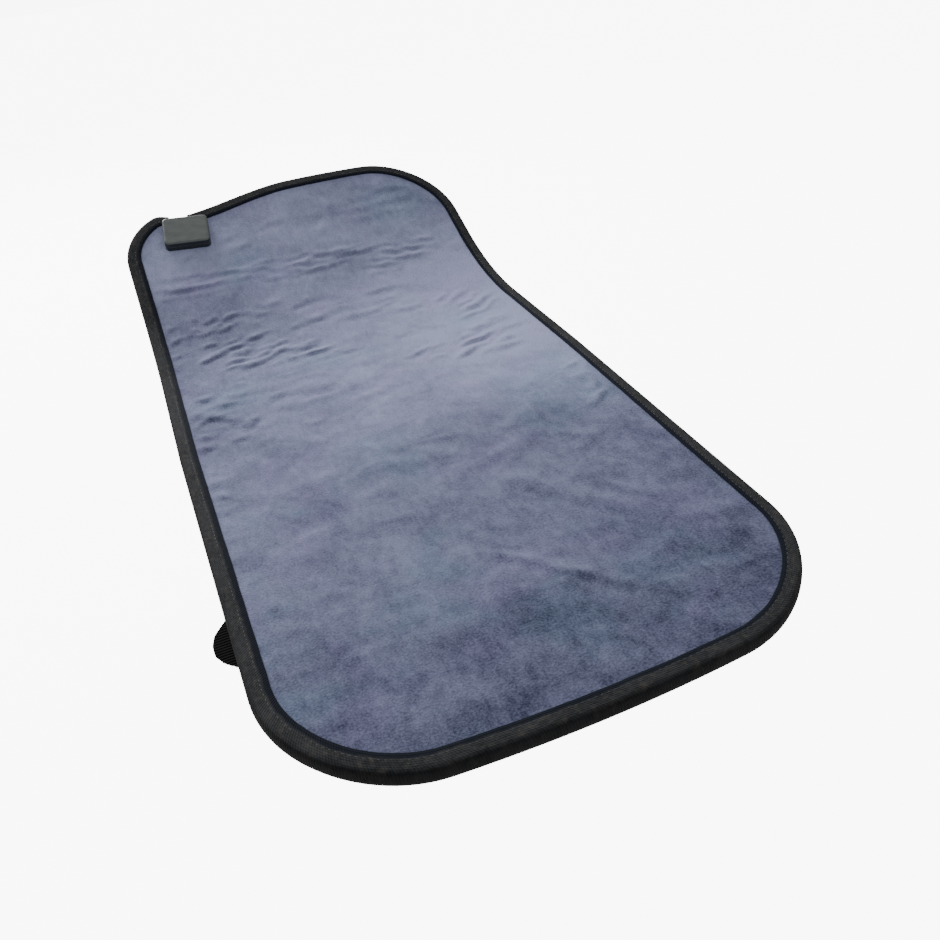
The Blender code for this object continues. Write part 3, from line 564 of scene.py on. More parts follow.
def wadding_material():
    """White polyester fluff."""
    m = Shader("wadding_fluff")
    flat = m.at()
    tufts = m.noise(flat, 0.004, detail=6, roughness=0.75, seed=1.0)
    clouds = m.noise(flat, 0.03, detail=3, seed=2.0)
    tone = m.scaled(clouds, 0.5, m.times(tufts, 0.5))
    colour = m.mix(tone, (0.6, 0.6, 0.57), (0.9, 0.9, 0.88))
    return m.finish(colour, 0.97, m.bump(tufts, 0.0012, 0.8), Sheen_Weight=0.3)


def felt_material():
    """Needled felt, its fibres lying mostly one way."""
    m = Shader("felt_needled")
    fibres = m.noise(m.at(scale=(1, 3, 1), turn=0.7), 0.002, detail=5, roughness=0.7, seed=4.0)
    clouds = m.noise(m.at(), 0.02, detail=3, seed=9.0)
    tone = m.scaled(fibres, 0.6, m.times(clouds, 0.4))
    colour = m.mix(tone, (0.52, 0.51, 0.47), (0.82, 0.81, 0.77))
    return m.finish(colour, 0.95, m.bump(fibres, 0.0004, 0.7))


def foil_material():
    """Crinkled metal foil."""
    m = Shader("foil_crinkle")
    cells = m.put("ShaderNodeTexVoronoi", {"Vector": m.at(), "Scale": 1 / 0.012}).outputs[0]
    crinkle = m.noise(m.at(), 0.006, detail=5, roughness=0.6, seed=3.0, distortion=1.2)
    height = m.scaled(cells, 0.6, crinkle)
    colour = m.mix(crinkle, (0.62, 0.62, 0.64), (0.86, 0.86, 0.88))
    rough = m.ramp(crinkle, 0.3, 0.7, 0.18, 0.4)
    return m.finish(colour, rough, m.bump(height, 0.0015, 0.6), Metallic=1.0)


def patch_material(name, dark, light, pitch):
    """Hook or loop tape: rows of small tufts."""
    m = Shader(name)
    flat = m.at()
    tufts = m.put("ShaderNodeTexVoronoi", {"Vector": flat, "Scale": 1 / pitch}).outputs[0]
    fuzz = m.noise(flat, pitch * 0.6, detail=4, roughness=0.7, seed=7.0)
    tone = m.scaled(tufts, 0.8, m.times(fuzz, 0.5), clamp=True)
    colour = m.mix(tone, light, dark)
    height = m.math("SUBTRACT", fuzz, tufts)
    return m.finish(colour, 0.9, m.bump(height, 0.0008, 0.9))


UPWARDS = tuple(laid(0, PAD_LENGTH / 2, 1.0) - laid(0, PAD_LENGTH / 2, 0.0))  # out of the far panel


def shell_material():
    """Satin moulded plastic with painted shade down its sides, softened edges, spark texture and handling
    marks.
    """
    m = Shader("shell_moulded")
    where = m.local()
    grain = m.noise(where, 0.0006, detail=2, seed=1.0)
    smears = m.noise(m.local(scale=(1, 2, 1), turn=0.6), 0.009, detail=4, roughness=0.6, seed=5.0)
    scratches = m.noise(m.local(scale=(8, 0.6, 1), turn=0.9), 0.004, detail=3, roughness=0.7, seed=8.0)
    colour = m.mix(smears, (0.055, 0.064, 0.063), (0.095, 0.108, 0.104))
    rounded = m.put("ShaderNodeBevel", {"Radius": 0.0009}, samples=6).outputs[0]
    # Painted shade: faces that turn away from UPWARDS are darkened
    facing = {0: m.put("ShaderNodeTexCoord").outputs["Normal"], 1: UPWARDS}
    upright_for_painted_shade = m.put("ShaderNodeVectorMath", facing, operation="DOT_PRODUCT").outputs["Value"]
    colour = m.tinted(colour, m.ramp(upright_for_painted_shade, 0.35, 0.75, 1.0, 0.0), 0.9, (0.006, 0.009, 0.013))
    normal = m.bump(m.scaled(scratches, 0.4, grain), 0.00006, 0.6, rounded)
    roughness = m.ramp(smears, 0.3, 0.7, 0.30, 0.46)
    return m.finish(colour, roughness, normal, Specular_IOR_Level=0.5)


def plastic_material(name, dark, light, roughness):
    """Plain moulded plastic, resin or board."""
    m = Shader(name)
    where = m.local()
    cloud = m.noise(where, 0.006, detail=4, seed=2.0)
    grain = m.noise(where, 0.0005, detail=2, seed=4.0)
    colour = m.mix(cloud, dark, light)
    rough = m.ramp(cloud, 0.3, 0.7, roughness, roughness + 0.15)
    return m.finish(colour, rough, m.bump(grain, 0.00005, 0.5))


def metal_material(name, dark, light, roughness):
    """Brushed metal with a little tarnish."""
    m = Shader(name)
    brushed = m.noise(m.local(scale=(1, 6, 6)), 0.0015, detail=4, roughness=0.7, seed=2.0)
    tarnish = m.noise(m.local(), 0.003, detail=4, seed=6.0)
    colour = m.mix(tarnish, dark, light)
    rough = m.ramp(brushed, 0.3, 0.7, roughness, roughness + 0.2)
    return m.finish(colour, rough, m.bump(brushed, 0.00004, 0.4), Metallic=1.0)


def wire_material(name, dark, light, pitch):
    """Braided or wrapped wire: slanted turns along its run."""
    m = Shader(name)
    parts = m.put("ShaderNodeSeparateXYZ", {0: m.local()})
    turns = m.plus(m.plus(parts.outputs[0], parts.outputs[1]), parts.outputs[2])
    twist = m.wave(turns, pitch)
    cloud = m.noise(m.local(), 0.01, detail=4, seed=3.0)
    colour = m.mix(m.scaled(twist, 0.25, cloud, clamp=True), dark, light)
    return m.finish(colour, 0.55, m.bump(twist, 0.0001, 0.6))


VELVET_PILE = velvet_material()
TAPE = tape_material()
THREAD = thread_material()
WEBBING = webbing_material()
OXFORD = oxford_material()
WADDING = wadding_material()
FELT = felt_material()
FOIL_SHEET = foil_material()
HOOKS = patch_material("hook_tufts", (0.006, 0.006, 0.007), (0.035, 0.035, 0.038), 0.0016)
LOOPS = patch_material("loop_pile", (0.010, 0.010, 0.011), (0.040, 0.040, 0.043), 0.0011)
SHELL = shell_material()
CARRIER = plastic_material("carrier_moulded", (0.012, 0.012, 0.013), (0.030, 0.030, 0.032), 0.45)
STEEL = metal_material("steel_plain", (0.42, 0.42, 0.43), (0.66, 0.66, 0.67), 0.25)


def dress(obj, material):
    obj.data.materials.clear()
    obj.data.materials.append(material)


def fit(obj, material, slot, follow, *nodes):
    """Dresses a piece, hangs it from a body or bakes its placement, and puts it in place of its CAD nodes."""
    if callable(follow):
        follow(obj)
    else:
        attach(obj, follow)
    dress(obj, material)
    if nodes:
        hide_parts(*nodes)


# ---- wrinkles in the velvet

# Zones of puckers, in mm: centre x and s, half extent x and s, count, length, width, height, slant
PUCKER_ZONES = (
    (-84, 128, 50, 30, 34, 14, 3.2, 0.75, 0.12),
    (-64, 108, 44, 16, 22, 15, 3.4, 0.95, 0.18),
    (-38, 98, 30, 12, 8, 14, 3.2, 0.85, 0.20),
    (-100, 172, 34, 24, 20, 13, 3.0, 0.70, 0.15),
    (-50, 176, 50, 20, 10, 18, 3.6, 0.45, 0.05),
    (-84, 222, 50, 16, 26, 34, 2.3, 0.42, -0.06),
    (10, 216, 56, 14, 26, 32, 2.3, 0.45, -0.05),
    (86, 200, 42, 16, 22, 22, 2.6, 0.50, -0.15),
    (-60, 262, 50, 16, 10, 18, 3.5, 0.35, 0.25),
    (60, 262, 60, 26, 12, 24, 4.5, 0.40, -0.20),
    (20, 145, 70, 40, 16, 20, 3.6, 0.40, 0.05),
    (84, 44, 50, 28, 26, 18, 3.6, 0.75, 0.35),
    (112, 96, 26, 44, 20, 16, 3.6, 0.70, 0.55),
    (-118, 34, 24, 50, 20, 14, 3.8, 0.65, -0.20),
    (-40, 30, 70, 40, 14, 24, 5.0, 0.40, 0.05),
    (128, -50, 14, 40, 9, 15, 4.0, 0.65, 0.70),
    (-132, -60, 10, 60, 8, 14, 4.0, 0.50, -0.60),
)
# Long soft folds pressed into the near half, in mm: start x and s, end x and s, width, height
PRESSED_FOLDS = (
    (-4, -192, 50, -248, 3.6, 1.1),
    (22, -120, 84, -196, 6.0, 1.0),
    (70, -150, 96, -190, 4.0, 0.7),
    (60, -90, 100, -120, 6.0, 0.5),
    (-90, -120, -50, -236, 8.0, 0.45),
    (-30, -60, 26, -100, 7.0, 0.45),
)
HEIGHT_LIMIT = 1.7 * MM
PUCKER_SEED = 11


def pucker(x, s, centre, length, width, height, slant, curve):
    """One short ridge with a hollow on its near side, lying across the pad."""
    dx, ds = x - centre[0], s - centre[1]
    turn = math.atan(slant)
    along = dx * math.cos(turn) + ds * math.sin(turn)
    across = ds * math.cos(turn) - dx * math.sin(turn) - curve * along**2
    window = np.exp(-((2 * along / length) ** 2) ** 1.5)
    ridge = np.exp(-((across / width) ** 2)) - 0.7 * np.exp(-(((across + 1.7 * width) / width) ** 2))
    return height * window * ridge


def crease_height(x, s):
    """Height of the velvet's puckers and pressed folds on pattern points."""
    rnd = random.Random(PUCKER_SEED)
    waved = s + 2.2 * MM * soft_noise(x, s, 22 * MM, 1) + 0.8 * MM * soft_noise(x, s, 8 * MM, 2)
    total = np.zeros_like(x)
    for centre_x, centre_s, half_x, half_s, count, length, width, height, slant in PUCKER_ZONES:
        for _ in range(count):
            centre = (
                (centre_x + half_x * (rnd.random() + rnd.random() - 1)) * MM,
                (centre_s + half_s * (rnd.random() + rnd.random() - 1)) * MM,
            )
            scale = rnd.uniform(0.6, 1.3)
            total += pucker(
                x,
                waved,
                centre,
                length * MM * rnd.uniform(0.6, 1.4),
                width * MM * rnd.uniform(0.8, 1.2),
                height * MM * scale,
                slant + rnd.gauss(0, 0.10),
                rnd.gauss(0, 5),
            )
    for start_x, start_s, end_x, end_s, width, height in PRESSED_FOLDS:
        start = np.array([start_x, start_s]) * MM
        run = np.array([end_x, end_s]) * MM - start
        length = np.linalg.norm(run)
        along = ((x - start[0]) * run[0] + (waved - start[1]) * run[1]) / length
        across = ((waved - start[1]) * run[0] - (x - start[0]) * run[1]) / length
        window = np.exp(-((2 * (along - length / 2) / length) ** 4))
        total += height * MM * window * np.exp(-((across / (width * MM)) ** 2))
    return HEIGHT_LIMIT * np.tanh(total / HEIGHT_LIMIT)


# Over which distances the velvet's unevenness sets in, from the binding, the socket and the parting line
FREE_OF_EDGE = (BINDING_WIDTH - 1.5 * MM, BINDING_WIDTH + 8 * MM)
FREE_OF_DOCK = (0.5 * MM, 7 * MM)
FREE_OF_PART = (0.3 * MM, 5 * MM)


def rise_guard(x, s, depth):
    """1 over the free velvet, falling to 0 at the binding, the socket, and the line where the sheets part."""
    dock_x, dock_s = from_dock(x, s)
    beside = np.hypot(np.maximum(0, dock_x - DOCK_WIDTH / 2), np.maximum(0, dock_s - DOCK_LENGTH / 2))
    at_part = gate(np.abs(s - PART_S), *FREE_OF_PART)
    return gate(depth, *FREE_OF_EDGE) * gate(beside, *FREE_OF_DOCK) * at_part


def sheet_grid(pitch):
    """Columns and rows over the whole pad, with a row where the sheets part, and the near rows' count."""
    columns, near, far = (
        np.linspace(first, last, int(round((last - first) / pitch)) + 1)
        for first, last in ((-PAD_WIDTH / 2, PAD_WIDTH / 2), NEAR_PART, FAR_PART)
    )
    return columns, np.concatenate([near[:-1], far]), len(near)


CLOTH_PITCH = 5 * MM
CLOTH_SCALE = 10.0  # the cloth is simulated this much larger, where the solver is steady
CLOTH_FRAMES = 20
CLOTH_SLACK = 0.10  # how much longer than its place the velvet is where it puckers most
CLOTH_HELD = 0.1  # where the guard is below this, the cloth is held in its place
CLOTH_SETTINGS = {
    "mass": 0.01,
    "tension_stiffness": 40,
    "compression_stiffness": 40,
    "shear_stiffness": 20,
    "bending_stiffness": 0.05,
}


def cloth_unevenness():
    """Columns, rows and heights of the velvet as a slack cloth, held at its edge and at the socket."""
    xs, ss, _ = sheet_grid(CLOTH_PITCH)
    x, s = np.meshgrid(xs, ss)
    slack = np.zeros_like(x)
    for centre_x, centre_s, half_x, half_s, *_ in PUCKER_ZONES:
        slack += np.exp(-(((x / MM - centre_x) / half_x) ** 2) - ((s / MM - centre_s) / half_s) ** 2)
    slack = CLOTH_SLACK * np.clip(slack, 0, 1)
    longer = np.zeros_like(s)
    longer[1:] = np.cumsum((slack[1:] + slack[:-1]) / 2 * np.diff(s, axis=0), axis=0)
    start = 0.1 * MM * soft_noise(x, s, 6 * MM, 4)
    points = np.stack([x, s, start], axis=-1).reshape(-1, 3) * CLOTH_SCALE
    rows, columns = x.shape
    corner = np.arange(rows * columns).reshape(rows, columns)[:-1, :-1].ravel()
    faces = np.stack([corner, corner + 1, corner + columns + 1, corner + columns], axis=-1).tolist()
    cloth = mesh_object("velvet_cloth", points, faces)
    cloth.shape_key_add(name="Basis")
    rest = cloth.shape_key_add(name="slack")
    points[:, 1] += longer.ravel() * CLOTH_SCALE
    rest.data.foreach_set("co", points.astype(np.float32).ravel())
    rest.value = 0
    held = cloth.vertex_groups.new(name="held")
    guard = rise_guard(x, s, edge_distance(x, s)).ravel()
    held.add(np.nonzero(guard < CLOTH_HELD)[0].tolist(), 1.0, "REPLACE")
    modifier = cloth.modifiers.new("cloth", "CLOTH")
    settings = modifier.settings
    settings.vertex_group_mass = "held"
    settings.rest_shape_key = rest
    for key, value in CLOTH_SETTINGS.items():
        setattr(settings, key, value)
    settings.effector_weights.gravity = 0
    modifier.collision_settings.use_collision = False
    modifier.collision_settings.use_self_collision = False
    modifier.point_cache.frame_start = 1
    modifier.point_cache.frame_end = CLOTH_FRAMES
    for step in range(1, CLOTH_FRAMES + 1):
        bpy.context.scene.frame_set(step)
        bpy.context.view_layer.update()
    settled = cloth.evaluated_get(bpy.context.evaluated_depsgraph_get())
    where = np.zeros(len(points) * 3)
    settled.data.vertices.foreach_get("co", where)
    bpy.context.scene.frame_set(1)
    bpy.data.objects.remove(cloth)
    height = where.reshape(rows, columns, 3)[..., 2] / CLOTH_SCALE
    for axis in (0, 1):
        height = (np.roll(height, 1, axis) + 2 * height + np.roll(height, -1, axis)) / 4
    return xs, ss, height


def between_nodes(xs, ss, height, x, s):
    """Heights of a coarse grid at finer pattern points."""
    column = np.clip(np.interp(x, xs, np.arange(len(xs))), 0, len(xs) - 1.001)
    row = np.clip(np.interp(s, ss, np.arange(len(ss))), 0, len(ss) - 1.001)
    i, j = row.astype(int), column.astype(int)
    down, over = gate(row - i, 0, 1), gate(column - j, 0, 1)
    first = height[i, j] * (1 - over) + height[i, j + 1] * over
    second = height[i + 1, j] * (1 - over) + height[i + 1, j + 1] * over
    return first * (1 - down) + second * down


VELVET_PITCH = 2.0 * MM
VELVET_LOWEST = -0.25 * MM  # how far a hollow in the velvet may sink into the wadding's clearance
CLOTH_SHARE = 1.6  # how strongly the simulated unevenness shows
VELVET_INSET = 4 * MM  # from the pad's edge, under the tape
VELVET_WINDOW = (15 * MM, 11 * MM)  # half sizes of the hole under the socket


def build_velvet():
    xs, ss, near_rows = sheet_grid(VELVET_PITCH)
    x, s = np.meshgrid(xs, ss)
    depth = edge_distance(x, s)
    height = crease_height(x, s)
    height += 0.25 * MM * soft_noise(x, s, 40 * MM, 5)
    height += CLOTH_SHARE * between_nodes(*cloth_unevenness(), x, s)
    rise = rise_guard(x, s, depth) * height
    rise = np.where(rise < 0, VELVET_LOWEST * np.tanh(rise / VELVET_LOWEST), rise)
    slope = np.gradient(rise, axis=0) / np.gradient(s, axis=0)
    dock_x, dock_s = from_dock(*cell_middles(x, s))
    window = (dock_x < VELVET_WINDOW[0]) & (dock_s < VELVET_WINDOW[1])
    keep = (cell_depths(depth) > VELVET_INSET) & ~window
    for name, rows, bend, nodes in (
        ("velvet_near_sheet", slice(0, near_rows), bend_near, ("velvet_cover_near", "velvet_cover_mid")),
        ("velvet_far_sheet", slice(near_rows - 1, None), bend_far, ("velvet_cover_far",)),
    ):
        cells = slice(rows.start, rows.stop - 1 if rows.stop else None)
        low = VELVET[0] + np.minimum(rise[rows], 0)
        # The crease's slope, which the velvet's material turns into painted shade, and its rise in mm
        crease = np.stack([slope[rows], rise[rows] / MM], axis=-1)
        obj = slab(name, x[rows], s[rows], low, VELVET[1] + rise[rows], keep[cells], crease)
        fit(obj, VELVET_PILE, "velvet", bend, *nodes)


# ---- inner sheets and the underside


SHEETS_CUT = (13 * MM, 12 * MM)  # half width and depth that the inner sheets leave free at the notch
WADDING_DOCK_HOLE = (20.5 * MM, 16.5 * MM)  # half sizes
WADDING_POCKETS = (  # centre and half sizes, for the thermostat and the sensor
    ((0, -154 * MM), (12 * MM, 9 * MM)),
    ((-20 * MM, DOCK_S - 20 * MM), (9.5 * MM, 6 * MM)),
)
COVER_SAG = 0.25 * MM
SHEETS = (  # name, span of n, inset, grid pitch, material, slot
    ("top_wadding", TOP_WADDING, 6 * MM, 6 * MM, WADDING, "wadding"),
    ("heater_felt", HEATER_FELT, 6 * MM, 6 * MM, FELT, "felt"),
    ("foil_reflector", FOIL, 6 * MM, 6 * MM, FOIL_SHEET, "foil"),
    ("bottom_wadding", BOTTOM_WADDING, 6 * MM, 6 * MM, WADDING, "wadding"),
    ("bottom_cover", BOTTOM_COVER, 4 * MM, 4 * MM, OXFORD, "oxford_cloth"),
)
HALVES = (("near", NEAR_PART, bend_near, ("near", "mid")), ("far", FAR_PART, bend_far, ("far",)))


def build_sheet(name, span, inset, pitch, material, slot, part, ends, bend, panels):
    """One layer of the pad, over the near half and middle quarter or over the far quarter."""
    xs = np.linspace(-PAD_WIDTH / 2, PAD_WIDTH / 2, int(PAD_WIDTH / pitch) + 1)
    x, s = np.meshgrid(xs, fold_rows(*ends, pitch))
    depth = edge_distance(x, s)
    centre_depth = cell_depths(depth)
    keep = centre_depth > inset
    middle_x, middle_s = cell_middles(x, s)
    outer = name == "bottom_cover"
    if not outer and part == "far":
        behind_dock = (np.abs(middle_x - NOTCH_X) < SHEETS_CUT[0]) & (middle_s > DOCK_S)
        keep &= ~(behind_dock & (centre_depth < SHEETS_CUT[1]))
    if name == "top_wadding":
        dock_x, dock_s = from_dock(middle_x, middle_s)
        keep &= ~((dock_x < WADDING_DOCK_HOLE[0]) & (dock_s < WADDING_DOCK_HOLE[1]))
        for at, half in WADDING_POCKETS:
            keep &= ~((np.abs(middle_x - at[0]) < half[0]) & (np.abs(middle_s - at[1]) < half[1]))
    sag = np.zeros_like(x)
    if outer:
        guard = np.clip((depth - BINDING_WIDTH) / (20 * MM), 0, 1)
        sag = -guard * COVER_SAG * np.clip(soft_noise(x, s * 1.8, 45 * MM, 8) + 0.3, 0, 1)
    obj = slab(f"{name}_{part}_sheet", x, s, span[0] + sag, span[1] + sag, keep)
    fit(obj, material, slot, bend, *(f"{name}_{panel}" for panel in panels))


def build_sheets():
    for sheet in SHEETS:
        for half in HALVES:
            build_sheet(*sheet, *half)


# ---- binding


REACH_STEP = 0.25 * MM
SHORTEST_REACH = 1.0 * MM
WOBBLE_SEED = 4
TAPE_WOBBLE = 0.25 * MM  # of the sewn edge
TAPE_PUFF = (0.35 * MM, 0.2 * MM)  # how far the tape stands up past its seam, and how much that varies


def dock_reach(point, inward):
    """How far a flange may run inwards from an edge point before it meets the socket."""
    width = BINDING_WIDTH - BINDING_NARROWS * min(1, max(0, point[0] / PAD_WIDTH + 0.5))
    for step in np.arange(0, width + 0.1 * MM, REACH_STEP):
        dock_x, dock_s = from_dock(*(point + inward * step))
        if dock_x < DOCK_WIDTH / 2 + DOCK_CLEARANCE and dock_s < DOCK_LENGTH / 2 + DOCK_CLEARANCE:
            return max(SHORTEST_REACH, step - REACH_STEP)
    return width


def tape_section(reach, puff):
    """One cross-section of the folded tape as (inset, n): the outer face, then the inner."""
    w, top, low, c = TAPE_WIDTH, BINDING_TOP, BINDING_BOTTOM, BINDING_CLOTH
    middle, half_height = (top + low) / 2, (top - low) / 2
    outer = [(reach, top - BINDING_ROUNDING), (reach - BINDING_ROUNDING, top)]
    for share in (0.85, 0.7, 0.5, 0.32, 0.18):
        outer.append((reach * share, top + puff * math.sin(math.pi * min(1, share + 0.05)) ** 0.7))
    for angle in BINDING_SIDE_ANGLES:
        a = math.radians(angle)
        outer.append((BINDING_SIDE_DEPTH * (1 - math.cos(a)), middle + half_height * math.sin(a) * 0.98))
    outer += [(w * 0.18, low), (w * 0.4, low), (w * 0.7, low)]
    outer += [(w - BINDING_ROUNDING, low), (w, low + BINDING_ROUNDING)]
    bent = half_height * 0.55
    inner = [(w, low + c), (w * 0.6, low + c), (2.2 * MM, low + c), (0.95 * MM, middle - bent)]
    inner += [(0.8 * MM, middle), (0.95 * MM, middle + bent), (min(2.2 * MM, reach * 0.5), top - c)]
    inner += [(reach * 0.75, top - c), (reach, top - c)]
    return np.array(outer + inner)


def edge_crossing(axis, line, wanted):
    """Where the edge crosses a line of x or s and wanted holds: the index before it, and the exact point."""
    for i, (a, b) in enumerate(zip(EDGE, np.roll(EDGE, -1, axis=0))):
        if wanted(a) and (a[axis] - line) * (b[axis] - line) <= 0:
            share = (line - a[axis]) / (b[axis] - a[axis])
            return i, a + share * (b - a)
    raise RuntimeError("the edge never reaches that line")


def edge_frames():
    """For each edge point: its place, its inward normal, the length up to it, and a wobble of -1 to 1."""
    direction = np.roll(EDGE, -1, axis=0) - np.roll(EDGE, 1, axis=0)
    direction /= np.linalg.norm(direction, axis=1)[:, None]
    inward = np.c_[-direction[:, 1], direction[:, 0]]
    length = np.r_[0, np.cumsum(np.linalg.norm(np.roll(EDGE, -1, axis=0) - EDGE, axis=1))]
    rnd = random.Random(WOBBLE_SEED)
    wobble = [rnd.uniform(-1, 1) for _ in range(len(EDGE))]
    wobble = np.convolve(np.r_[wobble, wobble, wobble], np.ones(5) / 5, "same")[len(EDGE) : 2 * len(EDGE)]
    return list(zip(EDGE, inward, length, wobble))


def tape_run(name, points):
    """One length of tape along a run of edge frames."""
    rings, marks = [], []
    for point, normal, along, wave in points:
        reach = dock_reach(point, normal)
        sewn = reach + wave * TAPE_WOBBLE * (reach > BINDING_SLIM)
        section = tape_section(sewn, TAPE_PUFF[0] + TAPE_PUFF[1] * wave)
        flat = point[None, :] + normal[None, :] * section[:, :1]
        rings.append(np.c_[flat, section[:, 1]])
        span = np.where(section[:, 1] > 4 * MM, max(reach, BINDING_SLIM), TAPE_WIDTH)
        across = section[:, 0] * TAPE_WIDTH / span
        marks.append(np.c_[np.full(len(section), along), across, section[:, 1] * 0.5])
    rings, marks = np.array(rings), np.array(marks)
    count, size = rings.shape[:2]
    world = laid(rings[..., 0], rings[..., 1], rings[..., 2]).reshape(-1, 3)
    faces = []
    for i in range(count - 1):
        for j in range(size):
            k = (j + 1) % size
            faces.append([i * size + j, (i + 1) * size + j, (i + 1) * size + k, i * size + k])
    faces.append(list(range(size)))
    faces.append([(count - 1) * size + j for j in reversed(range(size))])
    obj = mesh_object(name, world, faces)
    give_pattern(obj, marks.reshape(-1, 3), "tape")
    bm = bmesh.new()
    bm.from_mesh(obj.data)
    bmesh.ops.recalc_face_normals(bm, faces=bm.faces)
    bm.to_mesh(obj.data)
    bm.free()
    obj.data.shade_smooth()
    obj.data.set_sharp_from_angle(angle=math.radians(60))
    return obj


def build_binding():
    frames = edge_frames()
    part_right, part_left = (edge_crossing(1, PART_S, lambda a: a[0] * side > 0) for side in (1, -1))
    notch_right, notch_left = (
        edge_crossing(0, NOTCH_X + side * NOTCH_WIDTH / 2, lambda a: a[1] > CURL_START) for side in (1, -1)
    )
    for name, first, last, bend, panels in (
        ("near", part_left, part_right, bend_near, ("near",)),
        ("far_right", part_right, notch_right, bend_far, ("mid_right", "far_right")),
        ("far_left", notch_left, part_left, bend_far, ("mid_left", "far_left")),
    ):
        stop = last[0] if last[0] > first[0] else last[0] + len(frames)
        points = [frames[i % len(frames)] for i in range(first[0] + 1, stop + 1)]
        _, start_normal, start_length, _ = points[0]
        _, end_normal, end_length, _ = points[-1]
        points.insert(0, (first[1], start_normal, start_length - 1 * MM, 0.0))
        points.append((last[1], end_normal, end_length + 1 * MM, 0.0))
        tape = tape_run(f"binding_{name}_run", points)
        fit(tape, TAPE, "binding_tape", bend, *(f"edge_binding_{panel}" for panel in panels))
        fit(stitches(f"stitches_{name}_run", points), THREAD, "binding_tape", bend)


LINING_INSET = 6 * MM
LINING_DEPTH = 0.8 * MM
LINING_OVERLAP = 1.5 * MM  # past the notch at each side, under the tape
LINING_ABOVE, LINING_BELOW = 0.15 * MM, 0.1 * MM  # past the layers


def build_notch_lining():
    """Tape that closes the layers' edge behind the socket, where the binding is open."""
    half = NOTCH_WIDTH / 2 + LINING_OVERLAP
    xs = np.linspace(NOTCH_X - half, NOTCH_X + half, 19)
    edges = np.array([edge_s(x) for x in xs])
    rows = np.linspace(0, LINING_DEPTH, 3)
    x = np.tile(xs, (len(rows), 1))
    s = edges[None, :] - LINING_INSET + rows[:, None]
    low = np.full_like(x, BOTTOM_COVER[0] - LINING_BELOW)
    high = np.full_like(x, VELVET[1] + LINING_ABOVE)
    obj = slab("binding_notch_lining", x, s, low, high, whole(x))
    give_pattern(obj, np.tile(np.c_[x.ravel(), np.full(x.size, 4 * MM), np.zeros(x.size)], (2, 1)), "tape")
    fit(obj, TAPE, "binding_tape", "far_quarter")


STITCH_PITCH = 3.4 * MM
STITCH_LENGTH = 2.5 * MM
STITCH_RADIUS = 0.3 * MM
STITCH_INSET = 7.6 * MM
STITCH_MARGIN = 3 * MM  # left free at a run's ends
STITCH_REACH = 9.5 * MM  # the least width of tape that carries stitches on top


def stitches(name, points):
    """A row of thread stitches through the tape, on the velvet side and on the underside."""
    base = bmesh.new()
    bmesh.ops.create_uvsphere(base, u_segments=8, v_segments=5, radius=1.0)
    shape = np.array([v.co[:] for v in base.verts]) * (STITCH_LENGTH / 2, STITCH_RADIUS, STITCH_RADIUS)
    shape_faces = [[v.index for v in f.verts] for f in base.faces]
    base.free()
    track = np.array([p + n * STITCH_INSET for p, n, _, _ in points])
    clear = np.array([dock_reach(p, n) > STITCH_REACH for p, n, _, _ in points])
    lengths = np.r_[0, np.cumsum(np.linalg.norm(np.diff(track, axis=0), axis=1))]
    all_points, all_faces, all_marks = [], [], []
    for level, lift in ((BINDING_TOP + 0.12 * MM, 1), (BINDING_BOTTOM, -1)):
        for centre in np.arange(STITCH_MARGIN, lengths[-1] - STITCH_MARGIN, STITCH_PITCH):
            if not clear[min(len(clear) - 1, int(np.searchsorted(lengths, centre)))] and lift > 0:
                continue
            ends = centre + np.array([-0.5, 0.5]) * MM
            a, b = np.c_[np.interp(ends, lengths, track[:, 0]), np.interp(ends, lengths, track[:, 1])]
            middle, along = (a + b) / 2, (b - a) / np.linalg.norm(b - a)
            side = (-along[1], along[0])
            x, s = (middle[k] + shape[:, 0] * along[k] + shape[:, 1] * side[k] for k in (0, 1))
            start = len(shape) * len(all_points)
            all_points.append(laid(x, s, level + shape[:, 2] * 0.8))
            all_marks.append(np.c_[centre + shape[:, 0], shape[:, 1], shape[:, 2] * 0])
            all_faces += [[start + i for i in face] for face in shape_faces]
    obj = mesh_object(name, np.vstack(all_points), all_faces)
    give_pattern(obj, np.vstack(all_marks), "tape")
    return obj


# ---- strap


# How far the strap's free end reaches past its shortest corner, from the near edge to the far edge
TIP_ACROSS = (-1.0, -0.92, -0.8, -0.6, -0.3, 0.0, 0.3, 0.6, 0.85, 1.0)
TIP_REACH = (0.14, 0.28, 0.48, 0.78, 1.0, 1.0, 0.86, 0.50, 0.16, 0.0)
TIP_LENGTH = 17 * MM
TIP_WORN = 1 * MM  # how much of the lobe's length is worn off

STRAP_RIM = 1.2 * MM
RIM_DROP = 0.25 * MM
CORD_HEIGHT = 0.16 * MM
RIPPLE_PITCH, RIPPLE_HEIGHT = 3.0 * MM, 0.06 * MM  # on the underside
STRAP_GAP = 0.3 * MM  # at each side of the line where the free end begins
PATCH_FUZZ = 0.1 * MM


def strap_tip_x(s):
    """The free end's edge: one worn, rounded lobe, fuller on its near side."""
    across = (s - STRAP_S) / (STRAP_WIDTH / 2)
    reach = np.interp(across, TIP_ACROSS, TIP_REACH)
    reach = np.convolve(np.pad(reach, 3, mode="edge"), np.ones(7) / 7, "valid")
    return STRAP_TIP_X + TIP_LENGTH - TIP_WORN - TIP_LENGTH * reach


